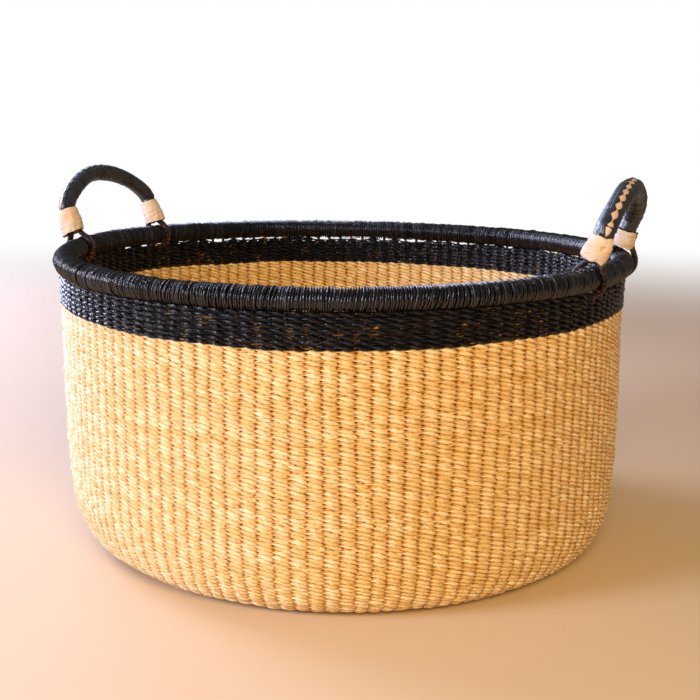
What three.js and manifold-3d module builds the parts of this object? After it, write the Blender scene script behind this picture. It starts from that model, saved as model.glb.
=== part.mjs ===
// Round twined-grass hamper basket with a black band, a wound rim roll and two laced leather handles.
// Millimetres, +Z up, origin on the floor at the middle of the base, handles on the X axis.

import * as THREE from 'three';
import { mergeVertices } from 'three/addons/utils/BufferGeometryUtils.js';
import Module from 'manifold-3d';

const wasm = await Module();
wasm.setup();

// Driving sizes of the basket

const RIM_OUTER_DIAMETER = 500;
const RIM_ROLL_DIAMETER = 18.5;
const RIM_HEIGHT = 243.9; // floor to the middle of the rim roll
const RIM_RISE = 1.6; // how far the mouth rises at the handles and dips between them
const WINDING_THICKNESS = 1.6;
const WEAVE_THICKNESS = 7.5;
const WALL_INSET = 4.8; // rim's outermost line to the wall's outside, where the black band starts
const WALL_TAPER = 2.4; // how much further in the wall stands where its rounded corner ends
const CORNER_REACH = 31.2; // how far the wall's foot turns in under the basket
const CORNER_HEIGHT = 58.4;
const CORNER_POWER = 2.2; // 2 is an ellipse, more is squarer
const FOOT_WIDTH = 11.6; // flat ring of the wall's foot, which lies on the floor round the base mat
const BASE_LAP = 6; // the mat's upper half rests on the wall's foot by this much
const ROW_PITCH = 3.38; // height of one twined row
const BAND_ROWS = 7;
const OPEN_ROW = 2.6; // clear height between the band and the rim roll
const STAKE_COUNT = 128;
const STAKE_WIDTH = 3.4; // along the wall
const STAKE_DEPTH = 2.6; // through the wall

// Driving sizes of the handles

const HANDLE_SPAN = 132; // middle of one leg to middle of the other
const HANDLE_TOP = 69.2; // rim's middle to the sleeve's middle, up the leaning plane of the handle
const SLEEVE_DIAMETER = 15;
const LEATHER_THICKNESS = 1.2;
const SHOULDER_PULL = 9; // how far each leg goes on straight before it bends over
const CROWN_PULL = 36; // how flat the top of the arch is
const CUFF_START = 14; // above the rim's middle
const CUFF_LENGTH = 22;
const CUFF_OVERLAP = 9; // stretch of the sleeve that is inside its cuff
const CUFF_SPREAD = 0.3; // how much wider a cuff's mouth is, across the rim
const TIE_DIAMETER = 6.4;
const TIE_FORK = 18; // above the rim's middle, where the two strands of a tie part
const TIE_ARC_START = 60; // degrees from the top of the rim roll, where a tie meets it
const LACING_DIAMONDS = 16;
const LACING_WIDTH = 6;
const LACING_NECK = 1.6;
const LACING_THICKNESS = 1.2;
const LACING_TURN = 68; // degrees from the outward side of the sleeve towards its top
const HANDLES = [
  { name: 'right', side: 0, lean: 15.5 },
  { name: 'left', side: 180, lean: 21 },
];

// Clearances

const SEAT_GAP = 0.3; // between pieces that touch on the real basket
const CUFF_CLEARANCE = 0.4;
const TIE_CLEARANCE = 0.6; // between a tie and the roll that it slides round
const NOTCH_CLEARANCE = 0.35;

// Facets: every ring has two stakes to a facet

const RING_STEPS = STAKE_COUNT / 2;
const CORNER_STEPS = 5;
const ROLL_SIDES = 10;
const CORE_SIDES = 8;
const SLEEVE_SIDES = 10;
const SLEEVE_STEPS = 20;
const CUFF_SIDES = 16;
const TIE_SIDES = 8;
const TIE_STEPS = 28;

// Sizes worked out from the ones above

const rollRadius = RIM_ROLL_DIAMETER / 2;
const rimRadius = RIM_OUTER_DIAMETER / 2 - rollRadius;
const coreRadius = rollRadius - WINDING_THICKNESS - SEAT_GAP;
const bandTop = RIM_HEIGHT - rollRadius - OPEN_ROW;
const bandBottom = bandTop - BAND_ROWS * ROW_PITCH;
const wallTop = bandBottom - SEAT_GAP;
const wallRadiusHigh = RIM_OUTER_DIAMETER / 2 - WALL_INSET;
const wallRadiusLow = wallRadiusHigh - WALL_TAPER;
const footRadius = wallRadiusLow - CORNER_REACH;
const baseRadius = footRadius - FOOT_WIDTH;
const lapHeight = WEAVE_THICKNESS / 2;
const lapRadius = baseRadius + BASE_LAP;
const halfSpan = HANDLE_SPAN / 2;
const pivotX = Math.sqrt(rimRadius ** 2 - halfSpan ** 2);
const pivotZ = RIM_HEIGHT + riseAt(pivotX, halfSpan, RIM_HEIGHT);
const sleeveRadius = SLEEVE_DIAMETER / 2;
const ropeRadius = sleeveRadius - LEATHER_THICKNESS - SEAT_GAP;
const sleeveStart = CUFF_START + CUFF_LENGTH - CUFF_OVERLAP;
const tieRadius = TIE_DIAMETER / 2;
const tieLoopRadius = rollRadius + TIE_CLEARANCE + tieRadius + SEAT_GAP;
const cuffBore = sleeveRadius + CUFF_CLEARANCE;
const strandOffset = cuffBore - CUFF_CLEARANCE - tieRadius;
const strandEnd = sleeveStart - SEAT_GAP;

// Rise of the mouth above the mean, growing from nothing at the floor

function riseAt(x, y, z) {
  return RIM_RISE * Math.cos(2 * Math.atan2(y, x)) * (z / RIM_HEIGHT) ** 2;
}

function radians(degrees) {
  return THREE.MathUtils.degToRad(degrees);
}

// Geometry helpers

function weld(geometry) {
  geometry.deleteAttribute('normal');
  geometry.deleteAttribute('uv');
  return mergeVertices(geometry, 1e-4);
}

// Turns a profile of [radius, height] pairs, listed anticlockwise, about the Z axis

function revolve(profile, steps) {
  const outline = profile.map(([radius, height]) => new THREE.Vector2(radius, height));
  return weld(new THREE.LatheGeometry(outline, steps).rotateX(Math.PI / 2));
}

function closed(profile) {
  return [...profile, profile[0]];
}

function moveVertices(geometry, move) {
  const position = geometry.getAttribute('position');
  const point = new THREE.Vector3();
  for (let i = 0; i < position.count; i += 1) {
    point.fromBufferAttribute(position, i);
    move(point);
    position.setXYZ(i, point.x, point.y, point.z);
  }
  return geometry;
}

function raiseMouth(geometry) {
  return moveVertices(geometry, (point) => {
    point.z += riseAt(point.x, point.y, point.z);
  });
}

function circleProfile(centreRadius, centreHeight, radius, sides) {
  const points = [];
  for (let i = 0; i < sides; i += 1) {
    const angle = (2 * Math.PI * (i + 0.5)) / sides;
    points.push([centreRadius + radius * Math.cos(angle), centreHeight + radius * Math.sin(angle)]);
  }
  return closed(points);
}

function boxProfile(inner, outer, low, high) {
  return closed([[inner, low], [outer, low], [outer, high], [inner, high]]);
}

function toSolid(geometry) {
  const welded = weld(geometry);
  return new wasm.Manifold(new wasm.Mesh({
    numProp: 3,
    vertProperties: Float32Array.from(welded.getAttribute('position').array),
    triVerts: Uint32Array.from(welded.getIndex().array),
  }));
}

function toGeometry(solid) {
  const mesh = solid.getMesh();
  const geometry = new THREE.BufferGeometry();
  geometry.setAttribute('position', new THREE.BufferAttribute(mesh.vertProperties, 3));
  geometry.setIndex(new THREE.BufferAttribute(mesh.triVerts, 1));
  return geometry;
}

// A round bar, or a round tube if it has a bore, along a curve

function roundBar(route, radius, sides, steps, bore = 0) {
  const section = new THREE.Shape().absarc(0, 0, radius, 0, 2 * Math.PI);
  if (bore > 0) {
    section.holes.push(new THREE.Path().absarc(0, 0, bore, 0, 2 * Math.PI));
  }
  const settings = { steps, curveSegments: sides / 2, bevelEnabled: false, extrudePath: route };
  return weld(new THREE.ExtrudeGeometry(section, settings));
}

// The woven body

// Outside of the wall at a height above its rounded corner

function wallRadius(height) {
  const share = (height - CORNER_HEIGHT) / (bandBottom - CORNER_HEIGHT);
  return wallRadiusLow + WALL_TAPER * (1 - (1 - share) ** 2);
}

// Point of the rounded corner, and the direction in which the weave's thickness lies there

function cornerPoint(angle) {
  const power = 2 / CORNER_POWER;
  const radius = footRadius + CORNER_REACH * Math.sin(angle) ** power;
  const height = CORNER_HEIGHT * (1 - Math.cos(angle) ** power);
  return new THREE.Vector2(radius, height);
}

function cornerLayers() {
  const outside = [];
  const inside = [];
  const nudge = 0.001;
  for (let i = 0; i <= CORNER_STEPS; i += 1) {
    const angle = (Math.PI / 2) * (i / CORNER_STEPS);
    const point = cornerPoint(angle);
    const before = cornerPoint(Math.max(angle - nudge, 0));
    const after = cornerPoint(Math.min(angle + nudge, Math.PI / 2));
    const along = after.sub(before).normalize();
    outside.push([point.x, point.y]);
    inside.push([point.x - along.y * WEAVE_THICKNESS, point.y + along.x * WEAVE_THICKNESS]);
  }
  return { outside, inside };
}

function baseMat() {
  return revolve([
    [0, 0],
    [baseRadius, 0],
    [baseRadius, lapHeight],
    [lapRadius, lapHeight],
    [lapRadius, WEAVE_THICKNESS],
    [0, WEAVE_THICKNESS],
  ], RING_STEPS);
}

function strawWall() {
  const { outside, inside } = cornerLayers();
  const middle = (CORNER_HEIGHT + wallTop) / 2;
  const ledge = lapHeight - SEAT_GAP;
  return raiseMouth(revolve(closed([
    [baseRadius + SEAT_GAP, 0],
    ...outside,
    [wallRadius(middle), middle],
    [wallRadius(wallTop), wallTop],
    [wallRadius(wallTop) - WEAVE_THICKNESS, wallTop],
    [wallRadius(middle) - WEAVE_THICKNESS, middle],
    ...inside.reverse(),
    [lapRadius + SEAT_GAP, WEAVE_THICKNESS],
    [lapRadius + SEAT_GAP, ledge],
    [baseRadius + SEAT_GAP, ledge],
  ]), RING_STEPS));
}

// The stakes run up inside the weave and show as short posts in the open row under the rim

function stakeTops() {
  const sunk = ROW_PITCH / 2;
  const top = RIM_HEIGHT - coreRadius - SEAT_GAP;
  const height = top - bandTop + sunk;
  const posts = [];
  for (let i = 0; i < STAKE_COUNT; i += 1) {
    const post = new THREE.BoxGeometry(STAKE_DEPTH, STAKE_WIDTH, height);
    post.translate(rimRadius, 0, top - height / 2);
    post.rotateZ((2 * Math.PI * (i + 0.5)) / STAKE_COUNT);
    posts.push(toSolid(raiseMouth(post)));
  }
  return wasm.Manifold.union(posts);
}

// Gaps that the ties have pushed into the top row of the band

function tieNotches() {
  const reach = tieLoopRadius + tieRadius + NOTCH_CLEARANCE;
  const width = TIE_DIAMETER + 2 * NOTCH_CLEARANCE;
  const length = 6 * WEAVE_THICKNESS;
  const notches = [];
  for (const side of [-1, 1]) {
    for (const end of [-1, 1]) {
      const notch = new THREE.BoxGeometry(length, width, reach);
      notch.translate(side * pivotX, end * halfSpan, pivotZ - reach / 2);
      notches.push(toSolid(notch));
    }
  }
  return wasm.Manifold.union(notches);
}

function blackBand() {
  const ring = raiseMouth(revolve(closed([
    [wallRadius(bandBottom) - WEAVE_THICKNESS, bandBottom],
    [wallRadius(bandBottom), bandBottom],
    [wallRadius(bandTop), bandTop],
    [wallRadius(bandTop) - WEAVE_THICKNESS, bandTop],
  ]), RING_STEPS));
  return toGeometry(toSolid(ring).add(stakeTops()).subtract(tieNotches()));
}

// The rim roll: a grass bundle, and a winding that is open underneath where the stakes come in

function rimBundle() {
  return raiseMouth(revolve(circleProfile(rimRadius, RIM_HEIGHT, coreRadius, CORE_SIDES), RING_STEPS));
}

function rimWinding() {
  const roll = revolve(circleProfile(rimRadius, RIM_HEIGHT, rollRadius, ROLL_SIDES), RING_STEPS);
  const boreRadius = coreRadius + SEAT_GAP;
  const bore = revolve(circleProfile(rimRadius, RIM_HEIGHT, boreRadius, CORE_SIDES), RING_STEPS);
  const halfSlot = STAKE_DEPTH / 2 + SEAT_GAP;
  const below = RIM_HEIGHT - 2 * rollRadius;
  const slot = revolve(boxProfile(rimRadius - halfSlot, rimRadius + halfSlot, below, RIM_HEIGHT), RING_STEPS);
  return raiseMouth(toGeometry(toSolid(roll).subtract(toSolid(bore)).subtract(toSolid(slot))));
}

// The handles, each drawn standing upright in the YZ plane with its hinge line on the Y axis

// The arch: straight legs out of the cuffs, joined by two cubic curves

function archRoute() {
  const shoulder = CUFF_START + CUFF_LENGTH;
  const crown = new THREE.Vector3(0, 0, HANDLE_TOP);
  const route = new THREE.CurvePath();
  route.add(new THREE.LineCurve3(
    new THREE.Vector3(0, -halfSpan, sleeveStart),
    new THREE.Vector3(0, -halfSpan, shoulder),
  ));
  route.add(new THREE.CubicBezierCurve3(
    new THREE.Vector3(0, -halfSpan, shoulder),
    new THREE.Vector3(0, -halfSpan, shoulder + SHOULDER_PULL),
    new THREE.Vector3(0, -CROWN_PULL, HANDLE_TOP),
    crown,
  ));
  route.add(new THREE.CubicBezierCurve3(
    crown,
    new THREE.Vector3(0, CROWN_PULL, HANDLE_TOP),
    new THREE.Vector3(0, halfSpan, shoulder + SHOULDER_PULL),
    new THREE.Vector3(0, halfSpan, shoulder),
  ));
  route.add(new THREE.LineCurve3(
    new THREE.Vector3(0, halfSpan, shoulder),
    new THREE.Vector3(0, halfSpan, sleeveStart),
  ));
  return route;
}

function handleRope() {
  return roundBar(archRoute(), ropeRadius, SLEEVE_SIDES, SLEEVE_STEPS);
}

function leatherSleeve() {
  const bore = sleeveRadius - LEATHER_THICKNESS;
  return roundBar(archRoute(), sleeveRadius, SLEEVE_SIDES, SLEEVE_STEPS, bore);
}

// The lacing: one thong that swells into a row of diamonds and lies round the sleeve's outer face

function lacing() {
  const route = archRoute();
  const straight = CUFF_OVERLAP / route.getLength();
  const inner = sleeveRadius + SEAT_GAP;
  const outer = inner + LACING_THICKNESS;
  const stations = 2 * LACING_DIAMONDS;
  const outward = new THREE.Vector3(1, 0, 0);
  const positions = [];
  const triangles = [];
  for (let i = 0; i <= stations; i += 1) {
    const along = THREE.MathUtils.lerp(straight, 1 - straight, i / stations);
    const centre = route.getPointAt(along);
    const upward = route.getTangentAt(along).cross(outward).negate();
    const width = i % 2 === 0 ? LACING_NECK : LACING_WIDTH;
    const spread = width / 2 / inner;
    for (const [radius, turn] of [[inner, -1], [inner, 0], [inner, 1], [outer, 1], [outer, 0], [outer, -1]]) {
      const angle = radians(LACING_TURN) + turn * spread;
      const point = centre.clone()
        .addScaledVector(outward, radius * Math.cos(angle))
        .addScaledVector(upward, radius * Math.sin(angle));
      positions.push(point.x, point.y, point.z);
    }
  }
  const sides = 6;
  for (let i = 0; i < stations; i += 1) {
    for (let j = 0; j < sides; j += 1) {
      const a = i * sides + j;
      const b = i * sides + ((j + 1) % sides);
      triangles.push(a, b, a + sides, b, b + sides, a + sides);
    }
  }
  const last = stations * sides;
  for (const [a, b, c] of [[0, 5, 1], [1, 5, 4], [1, 4, 2], [2, 4, 3]]) {
    triangles.push(a, b, c, last + a, last + c, last + b);
  }
  const geometry = new THREE.BufferGeometry();
  geometry.setAttribute('position', new THREE.Float32BufferAttribute(positions, 3));
  geometry.setIndex(triangles);
  return geometry;
}

// A cuff: a soft leather band round the sleeve's end, spread at its mouth by the two strands of the tie

function leatherCuff() {
  const top = CUFF_START + CUFF_LENGTH;
  const wall = LEATHER_THICKNESS;
  const cuff = revolve(closed([
    [cuffBore, CUFF_START],
    [cuffBore + wall, CUFF_START],
    [cuffBore + 1.5 * wall, CUFF_START + CUFF_LENGTH / 3],
    [cuffBore + wall, top],
    [cuffBore, top],
    [cuffBore + 0.5 * wall, CUFF_START + CUFF_LENGTH / 3],
  ]), CUFF_SIDES);
  return moveVertices(cuff, (point) => {
    const share = (top - point.z) / CUFF_LENGTH;
    point.x *= 1 + CUFF_SPREAD * share;
  });
}

// An arc about the Y axis, by its angle from straight up

class HoopArc extends THREE.Curve {
  constructor(radius, start, end) {
    super();
    this.radius = radius;
    this.start = start;
    this.end = end;
  }

  getPoint(share, target = new THREE.Vector3()) {
    const angle = THREE.MathUtils.lerp(this.start, this.end, share);
    return target.set(this.radius * Math.sin(angle), 0, this.radius * Math.cos(angle));
  }
}

// A tie: one grass cord that leaves the cuff, forks round the rim roll and passes through the weave below it

function tieRoute() {
  const start = radians(TIE_ARC_START);
  const arc = new HoopArc(tieLoopRadius, start, 2 * Math.PI - start);
  const fork = (side) => new THREE.Vector3(side * strandOffset, 0, TIE_FORK);
  const end = (side) => new THREE.Vector3(side * strandOffset, 0, strandEnd);
  const touch = (side) => new THREE.Vector3(
    side * tieLoopRadius * Math.sin(start), 0, tieLoopRadius * Math.cos(start),
  );
  const pull = tieLoopRadius / 3;
  const above = (side) => fork(side).add(new THREE.Vector3(0, 0, -pull));
  const before = (side) => touch(side).add(
    new THREE.Vector3(-side * pull * Math.cos(start), 0, pull * Math.sin(start)),
  );
  const route = new THREE.CurvePath();
  route.add(new THREE.LineCurve3(end(1), fork(1)));
  route.add(new THREE.CubicBezierCurve3(fork(1), above(1), before(1), touch(1)));
  route.add(arc);
  route.add(new THREE.CubicBezierCurve3(touch(-1), before(-1), above(-1), fork(-1)));
  route.add(new THREE.LineCurve3(fork(-1), end(-1)));
  return route;
}

function rimTie() {
  return roundBar(tieRoute(), tieRadius, TIE_SIDES, TIE_STEPS);
}

// Materials and assembly

const colours = {
  straw: '#c9a768',
  blackGrass: '#2a2730',
  grassCord: '#4a3426',
  blackLeather: '#24242a',
  naturalLeather: '#dcb98c',
};

function piece(name, geometry, colour, roughness) {
  const shown = geometry.index ? geometry.toNonIndexed() : geometry;
  shown.computeVertexNormals();
  const mesh = new THREE.Mesh(
    shown,
    new THREE.MeshStandardMaterial({ color: colours[colour], roughness, metalness: 0 }),
  );
  mesh.name = name;
  return mesh;
}

function atLeg(mesh, end) {
  mesh.position.y = end * halfSpan;
  return mesh;
}

function handle({ name, side, lean }) {
  const upright = new THREE.Group();
  upright.position.set(pivotX, 0, pivotZ);
  upright.rotation.y = radians(lean);
  upright.add(
    piece(`${name}_handle_rope`, handleRope(), 'grassCord', 0.9),
    piece(`${name}_handle_sleeve`, leatherSleeve(), 'blackLeather', 0.45),
    piece(`${name}_handle_lacing`, lacing(), 'naturalLeather', 0.6),
  );
  for (const [word, end] of [['a', -1], ['b', 1]]) {
    upright.add(
      atLeg(piece(`${name}_cuff_${word}`, leatherCuff(), 'naturalLeather', 0.65), end),
      atLeg(piece(`${name}_tie_${word}`, rimTie(), 'grassCord', 0.8), end),
    );
  }
  const turned = new THREE.Group();
  turned.rotation.z = radians(side);
  turned.add(upright);
  return turned;
}

const basket = new THREE.Group();
basket.add(
  piece('base_mat', baseMat(), 'straw', 0.8),
  piece('straw_wall', strawWall(), 'straw', 0.8),
  piece('black_band', blackBand(), 'blackGrass', 0.6),
  piece('rim_bundle', rimBundle(), 'grassCord', 0.9),
  piece('rim_winding', rimWinding(), 'blackGrass', 0.5),
  ...HANDLES.map(handle),
);

export default basket;
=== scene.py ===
"""The looks of a round hamper basket: twined grass, a wound rim roll and two laced leather handles."""

import math

import bmesh
import bpy
import numpy as np
from bpy.props import FloatProperty, FloatVectorProperty, IntProperty, PointerProperty
from mathutils import Matrix, Vector


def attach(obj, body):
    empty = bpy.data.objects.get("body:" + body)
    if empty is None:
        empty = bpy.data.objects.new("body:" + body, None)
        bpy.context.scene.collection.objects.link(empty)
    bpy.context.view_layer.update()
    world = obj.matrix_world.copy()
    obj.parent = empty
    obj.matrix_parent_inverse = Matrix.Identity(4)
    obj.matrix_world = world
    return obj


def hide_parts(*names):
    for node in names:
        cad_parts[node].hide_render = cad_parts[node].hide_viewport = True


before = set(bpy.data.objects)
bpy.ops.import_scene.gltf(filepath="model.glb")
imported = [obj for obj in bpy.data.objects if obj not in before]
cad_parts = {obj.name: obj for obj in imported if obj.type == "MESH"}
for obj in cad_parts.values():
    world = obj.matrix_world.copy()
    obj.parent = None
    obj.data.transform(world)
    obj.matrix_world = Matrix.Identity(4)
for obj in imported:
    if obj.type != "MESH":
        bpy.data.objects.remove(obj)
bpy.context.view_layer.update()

bl_info = {
    "name": "Hamper basket",
    "version": (1, 0, 0),
    "blender": (4, 5, 0),
    "location": "View3D > Sidebar > Basket",
    "description": "Builds a twined grass hamper basket with two leather-sleeved handles",
    "category": "Add Mesh",
}

MM = 0.001
TURN = 2 * math.pi


def linear(colour):
    """Linear colour of an sRGB hex value."""
    channels = [int(colour[i : i + 2], 16) / 255 for i in (1, 3, 5)]
    return [c / 12.92 if c <= 0.04045 else ((c + 0.055) / 1.055) ** 2.4 for c in channels]


def length(name, description, millimetres):
    """Property that holds a length, given in millimetres."""
    return FloatProperty(name=name, description=description, default=millimetres * MM,
                         unit="LENGTH", precision=4)


def colour(name, description, value):
    """Property that holds a colour, given in sRGB hex."""
    return FloatVectorProperty(name=name, description=description, default=linear(value),
                               size=3, min=0, max=1, subtype="COLOR")


class BasketSizes(bpy.types.PropertyGroup):
    """Sizes of the basket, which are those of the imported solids."""

    rim_diameter: length("Rim diameter", "Outside of the rim roll, across the basket", 500)
    roll_diameter: length("Roll diameter", "Thickness of the rim roll", 18.5)
    rim_height: length("Rim height", "Floor to the middle of the rim roll", 243.9)
    rim_rise: length("Rim rise", "How far the mouth rises at the handles and dips between them", 1.6)
    winding_pitch: length("Winding pitch", "From one turn of the rim's winding to the next", 1.95)
    weave_thickness: length("Weave thickness", "Both strands of a row and the stake between them", 7.5)
    row_pitch: length("Row pitch", "Height of one twined row", 3.38)
    band_rows: IntProperty(name="Band rows", description="Black rows under the rim", default=7, min=1)
    open_row: length("Open row", "Clear height between the band and the rim roll", 2.6)
    stakes: IntProperty(name="Stakes", description="Upright stakes in the wall, an even number",
                        default=128, min=8)
    wall_inset: length("Wall inset", "Rim's outermost line to the wall's outside under it", 4.8)
    wall_taper: length("Wall taper", "How much further in the wall stands at its foot", 2.4)
    corner_reach: length("Corner reach", "How far the wall's foot turns in", 31.2)
    corner_height: length("Corner height", "Height of the rounded corner", 58.4)
    foot_width: length("Foot width", "Flat ring of the wall round the base mat", 11.6)
    handle_span: length("Handle span", "Middle of one leg to middle of the other", 132)
    handle_top: length("Handle top", "Rim's middle to the middle of the sleeve's top", 69.2)
    sleeve_diameter: length("Sleeve diameter", "Outside of a handle's leather sleeve", 15)
    leather: length("Leather", "Thickness of the leather", 1.2)
    cuff_start: length("Cuff start", "Rim's middle to a cuff's mouth", 14)
    cuff_length: length("Cuff length", "Length of a cuff", 22)
    cuff_overlap: length("Cuff overlap", "Stretch of the sleeve inside its cuff", 9)
    tie_diameter: length("Tie diameter", "Thickness of a tie", 6.4)
    lacing_width: length("Lacing width", "Widest part of one diamond of the lacing", 6)


class BasketColours(bpy.types.PropertyGroup):
    """Colours of the basket's materials."""

    straw_pale: colour("Pale straw", "Bleached blades of grass", "#faead0")
    straw: colour("Straw", "Most blades of grass", "#f2dab5")
    # Painted shade: the brown of the hollows between stitches, painted into the straw
    painted_hollow_shade: colour("Deep straw", "Hollows between stitches", "#7d4a1c")
    black_grass: colour("Black grass", "Grass dyed black", "#060608")
    worn_black: colour("Worn black grass", "Dyed grass where it has rubbed", "#13141d")
    rust: colour("Rust", "Undyed core of the dyed grass", "#62402a")
    black_leather: colour("Black leather", "Thin leather of the sleeves", "#1d212c")
    natural_leather: colour("Natural leather", "Undyed leather of cuffs and lacing", "#cbc0bc")
    floor: colour("Floor", "Plain pale floor", "#cfb9a3")


# The two handles as they were bent and tied by hand. Each has its side of the basket and its lean, the side
# of its far leg and how far that leg is drawn in, the turn of its arch, how far its near and far shoulders
# are bowed, how far its crown has sunk and how much fuller its sleeve is. Its two cuffs are in millimetres:
# foot and top above the rim's middle, tilt of the hem, bulge, ease of the upper edge, and lean of the foot.
# Their spread is the share by which the mouth is wider.

HANDLES = (
    {"name": "right", "side": 0.0, "lean": math.radians(15.5), "seed": 31, "far": 1,
     "drawn_in": 2.6 * MM, "yaw": math.radians(1.4), "bow": (0.0, 2.8 * MM), "sag": 1.2 * MM,
     "padding": 0.7 * MM, "cuffs": {
         -1: {"foot": 16, "top": 36, "tilt": 1.4, "bulge": 1.3, "ease": 0.2, "aside": -2.4, "spread": 0.2},
         1: {"foot": 12.5, "top": 27, "tilt": 0.5, "bulge": 0.6, "ease": 1.2, "aside": 0.0, "spread": 0.02}}},
    {"name": "left", "side": math.pi, "lean": math.radians(21), "seed": 47, "far": -1,
     "drawn_in": 0.0, "yaw": math.radians(-0.9), "bow": (-1.6 * MM, -1.6 * MM), "sag": 1.4 * MM,
     "padding": -0.4 * MM, "cuffs": {
         -1: {"foot": 12.2, "top": 34, "tilt": -0.5, "bulge": 0.8, "ease": 0.4, "aside": -1.2, "spread": 0.11},
         1: {"foot": 15, "top": 37, "tilt": 0.8, "bulge": 0.9, "ease": 0.6, "aside": 2.4, "spread": 0.22}}},
)

# Sizes worked out from the ones above


def sizes():
    return bpy.context.scene.basket_sizes


def colours():
    return bpy.context.scene.basket_colours


def roll_radius():
    return sizes().roll_diameter / 2


def rim_radius():
    return sizes().rim_diameter / 2 - roll_radius()


def band_top():
    return sizes().rim_height - roll_radius() - sizes().open_row


def band_bottom():
    return band_top() - sizes().band_rows * sizes().row_pitch


def half_span():
    return sizes().handle_span / 2


def rise(angle, height):
    """Rise of the mouth above its mean, growing from nothing at the floor."""
    return sizes().rim_rise * np.cos(2 * angle) * (height / sizes().rim_height) ** 2


def twisted_place(handle):
    """A handle's place with the slight turn of its arch about its near foot, as it was tied."""
    near = Matrix.Translation((0, -handle["far"] * half_span(), 0))
    return handle_place(handle) @ near @ Matrix.Rotation(handle["yaw"], 4, "Z") @ near.inverted()


def hinge_point():
    """Middle of a handle's hinge line, on the +X side."""
    x = math.sqrt(rim_radius() ** 2 - half_span() ** 2)
    return Vector((x, 0, sizes().rim_height + rise(math.atan2(half_span(), x), sizes().rim_height)))


def handle_place(handle):
    """Matrix from a handle that stands upright, X outwards and Y along the hinge, to its place."""
    upright = Matrix.Translation(hinge_point()) @ Matrix.Rotation(handle["lean"], 4, "Y")
    return Matrix.Rotation(handle["side"], 4, "Z") @ upright


# The line of the weave, from the middle of the base out, round the corner and up to the band's top

CORNER_POWER = 2.2


def weave_line():
    """Points of the weave's middle surface as (radius, height), their outward normals and distances."""
    s = sizes()
    high = s.rim_diameter / 2 - s.wall_inset
    low = high - s.wall_taper
    foot = low - s.corner_reach
    outside = [(radius, 0.0) for radius in np.linspace(0, foot, 12, endpoint=False)]
    for angle in np.linspace(0, math.pi / 2, 40, endpoint=False):
        power = 2 / CORNER_POWER
        outside.append((foot + s.corner_reach * math.sin(angle) ** power,
                        s.corner_height * (1 - math.cos(angle) ** power)))
    for height in np.linspace(s.corner_height, band_top(), 24):
        share = (height - s.corner_height) / (band_bottom() - s.corner_height)
        outside.append((low + s.wall_taper * (1 - (1 - share) ** 2), height))
    outside = np.array(outside)
    along = np.gradient(outside, axis=0)
    along /= np.linalg.norm(along, axis=1)[:, None]
    normal = np.stack([along[:, 1], -along[:, 0]], axis=1)
    middle = outside - normal * s.weave_thickness / 2
    distance = np.concatenate([[0], np.cumsum(np.linalg.norm(np.diff(middle, axis=0), axis=1))])
    return middle, normal, distance


WAVES = 7
WAVE_LENGTH = 0.08


def wander(seed, angle, distance, size):
    """Slow unevenness over the whole surface, which closes round the basket."""
    rng = np.random.default_rng(seed)
    total = 0
    for _ in range(WAVES):
        turns, climb, phase = rng.integers(2, 15), rng.normal(), rng.uniform(0, TURN)
        total = total + np.cos(turns * angle + climb * distance / WAVE_LENGTH + phase)
    return size * total / math.sqrt(WAVES)


# Meshes from many strands


class Strands:
    """Gathers tubes for one mesh, with a fibre map, each blade's tone and how deep each point is sunk."""

    def __init__(self):
        self.points, self.faces, self.maps, self.tones, self.sunk = [], [], [], [], []
        self.count = 0

    def tube(self, rings, along, girth, tones, sunk, closed=True):
        """Adds a tube. Rings are (steps, sides, 3); along, by steps, and girth are the fibre map's metres."""
        steps, sides = rings.shape[:2]
        last = steps if closed else steps - 1
        i, j = np.arange(last)[:, None], np.arange(sides)[None, :]
        next_i, next_j = (i + 1) % steps, (j + 1) % sides
        corners = np.stack([
            i * sides + j, i * sides + next_j, next_i * sides + next_j, next_i * sides + j], -1)
        begin, column = along[i] + 0 * j, 0 * i + j
        end = begin + (along[1] - along[0])
        u = np.stack([begin, begin, end, end], -1)
        v = np.stack([column, column + 1, column + 1, column], -1) * girth / sides
        self.points.append(rings.reshape(-1, 3))
        self.faces.append(corners.reshape(-1, 4) + self.count)
        self.maps.append(np.stack([u, v], -1).reshape(-1, 4, 2))
        self.tones.append(np.repeat(tones[:last], sides))
        self.sunk.append(np.broadcast_to(sunk, (steps, sides)).reshape(-1))
        self.count += steps * sides

    def mesh(self, name, material):
        """The tubes as one piece, turned so that its faces point outwards."""
        points, faces, maps = (np.concatenate(part) for part in (self.points, self.faces, self.maps))
        first, second, third = (points[faces[:, k]] for k in (0, 1, 2))
        if np.einsum("ij,ij->i", first, np.cross(second, third)).sum() < 0:
            faces, maps = faces[:, ::-1], maps[:, ::-1]
        data = bpy.data.meshes.new(name)
        data.vertices.add(len(points))
        data.vertices.foreach_set("co", points.astype(np.float32).ravel())
        data.loops.add(faces.size)
        data.loops.foreach_set("vertex_index", faces.astype(np.int32).ravel())
        data.polygons.add(len(faces))
        data.polygons.foreach_set("loop_start", np.arange(0, faces.size, 4, dtype=np.int32))
        data.polygons.foreach_set("use_smooth", np.ones(len(faces), bool))
        data.uv_layers.new(name="fibres").data.foreach_set("uv", maps.astype(np.float32).ravel())
        for name_of, domain, values in (("tone", "FACE", self.tones), ("sunk", "POINT", self.sunk)):
            attribute = data.attributes.new(name_of, "FLOAT", domain)
            attribute.data.foreach_set("value", np.concatenate(values).astype(np.float32))
        data.update(calc_edges=True)
        data.materials.append(material)
        piece = bpy.data.objects.new(name, data)
        bpy.context.scene.collection.objects.link(piece)
        return piece


def blade_tones(rng, count, least, most):
    """Tones along a strand: a blade keeps its tone for several stitches, then the next one is laid in."""
    tones = []
    while len(tones) < count:
        tones += [rng.uniform(0, 1)] * int(rng.integers(least, most))
    return np.clip(np.array(tones[:count]) * 0.5 + rng.uniform(0, 0.5, count), 0, 1)


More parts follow.
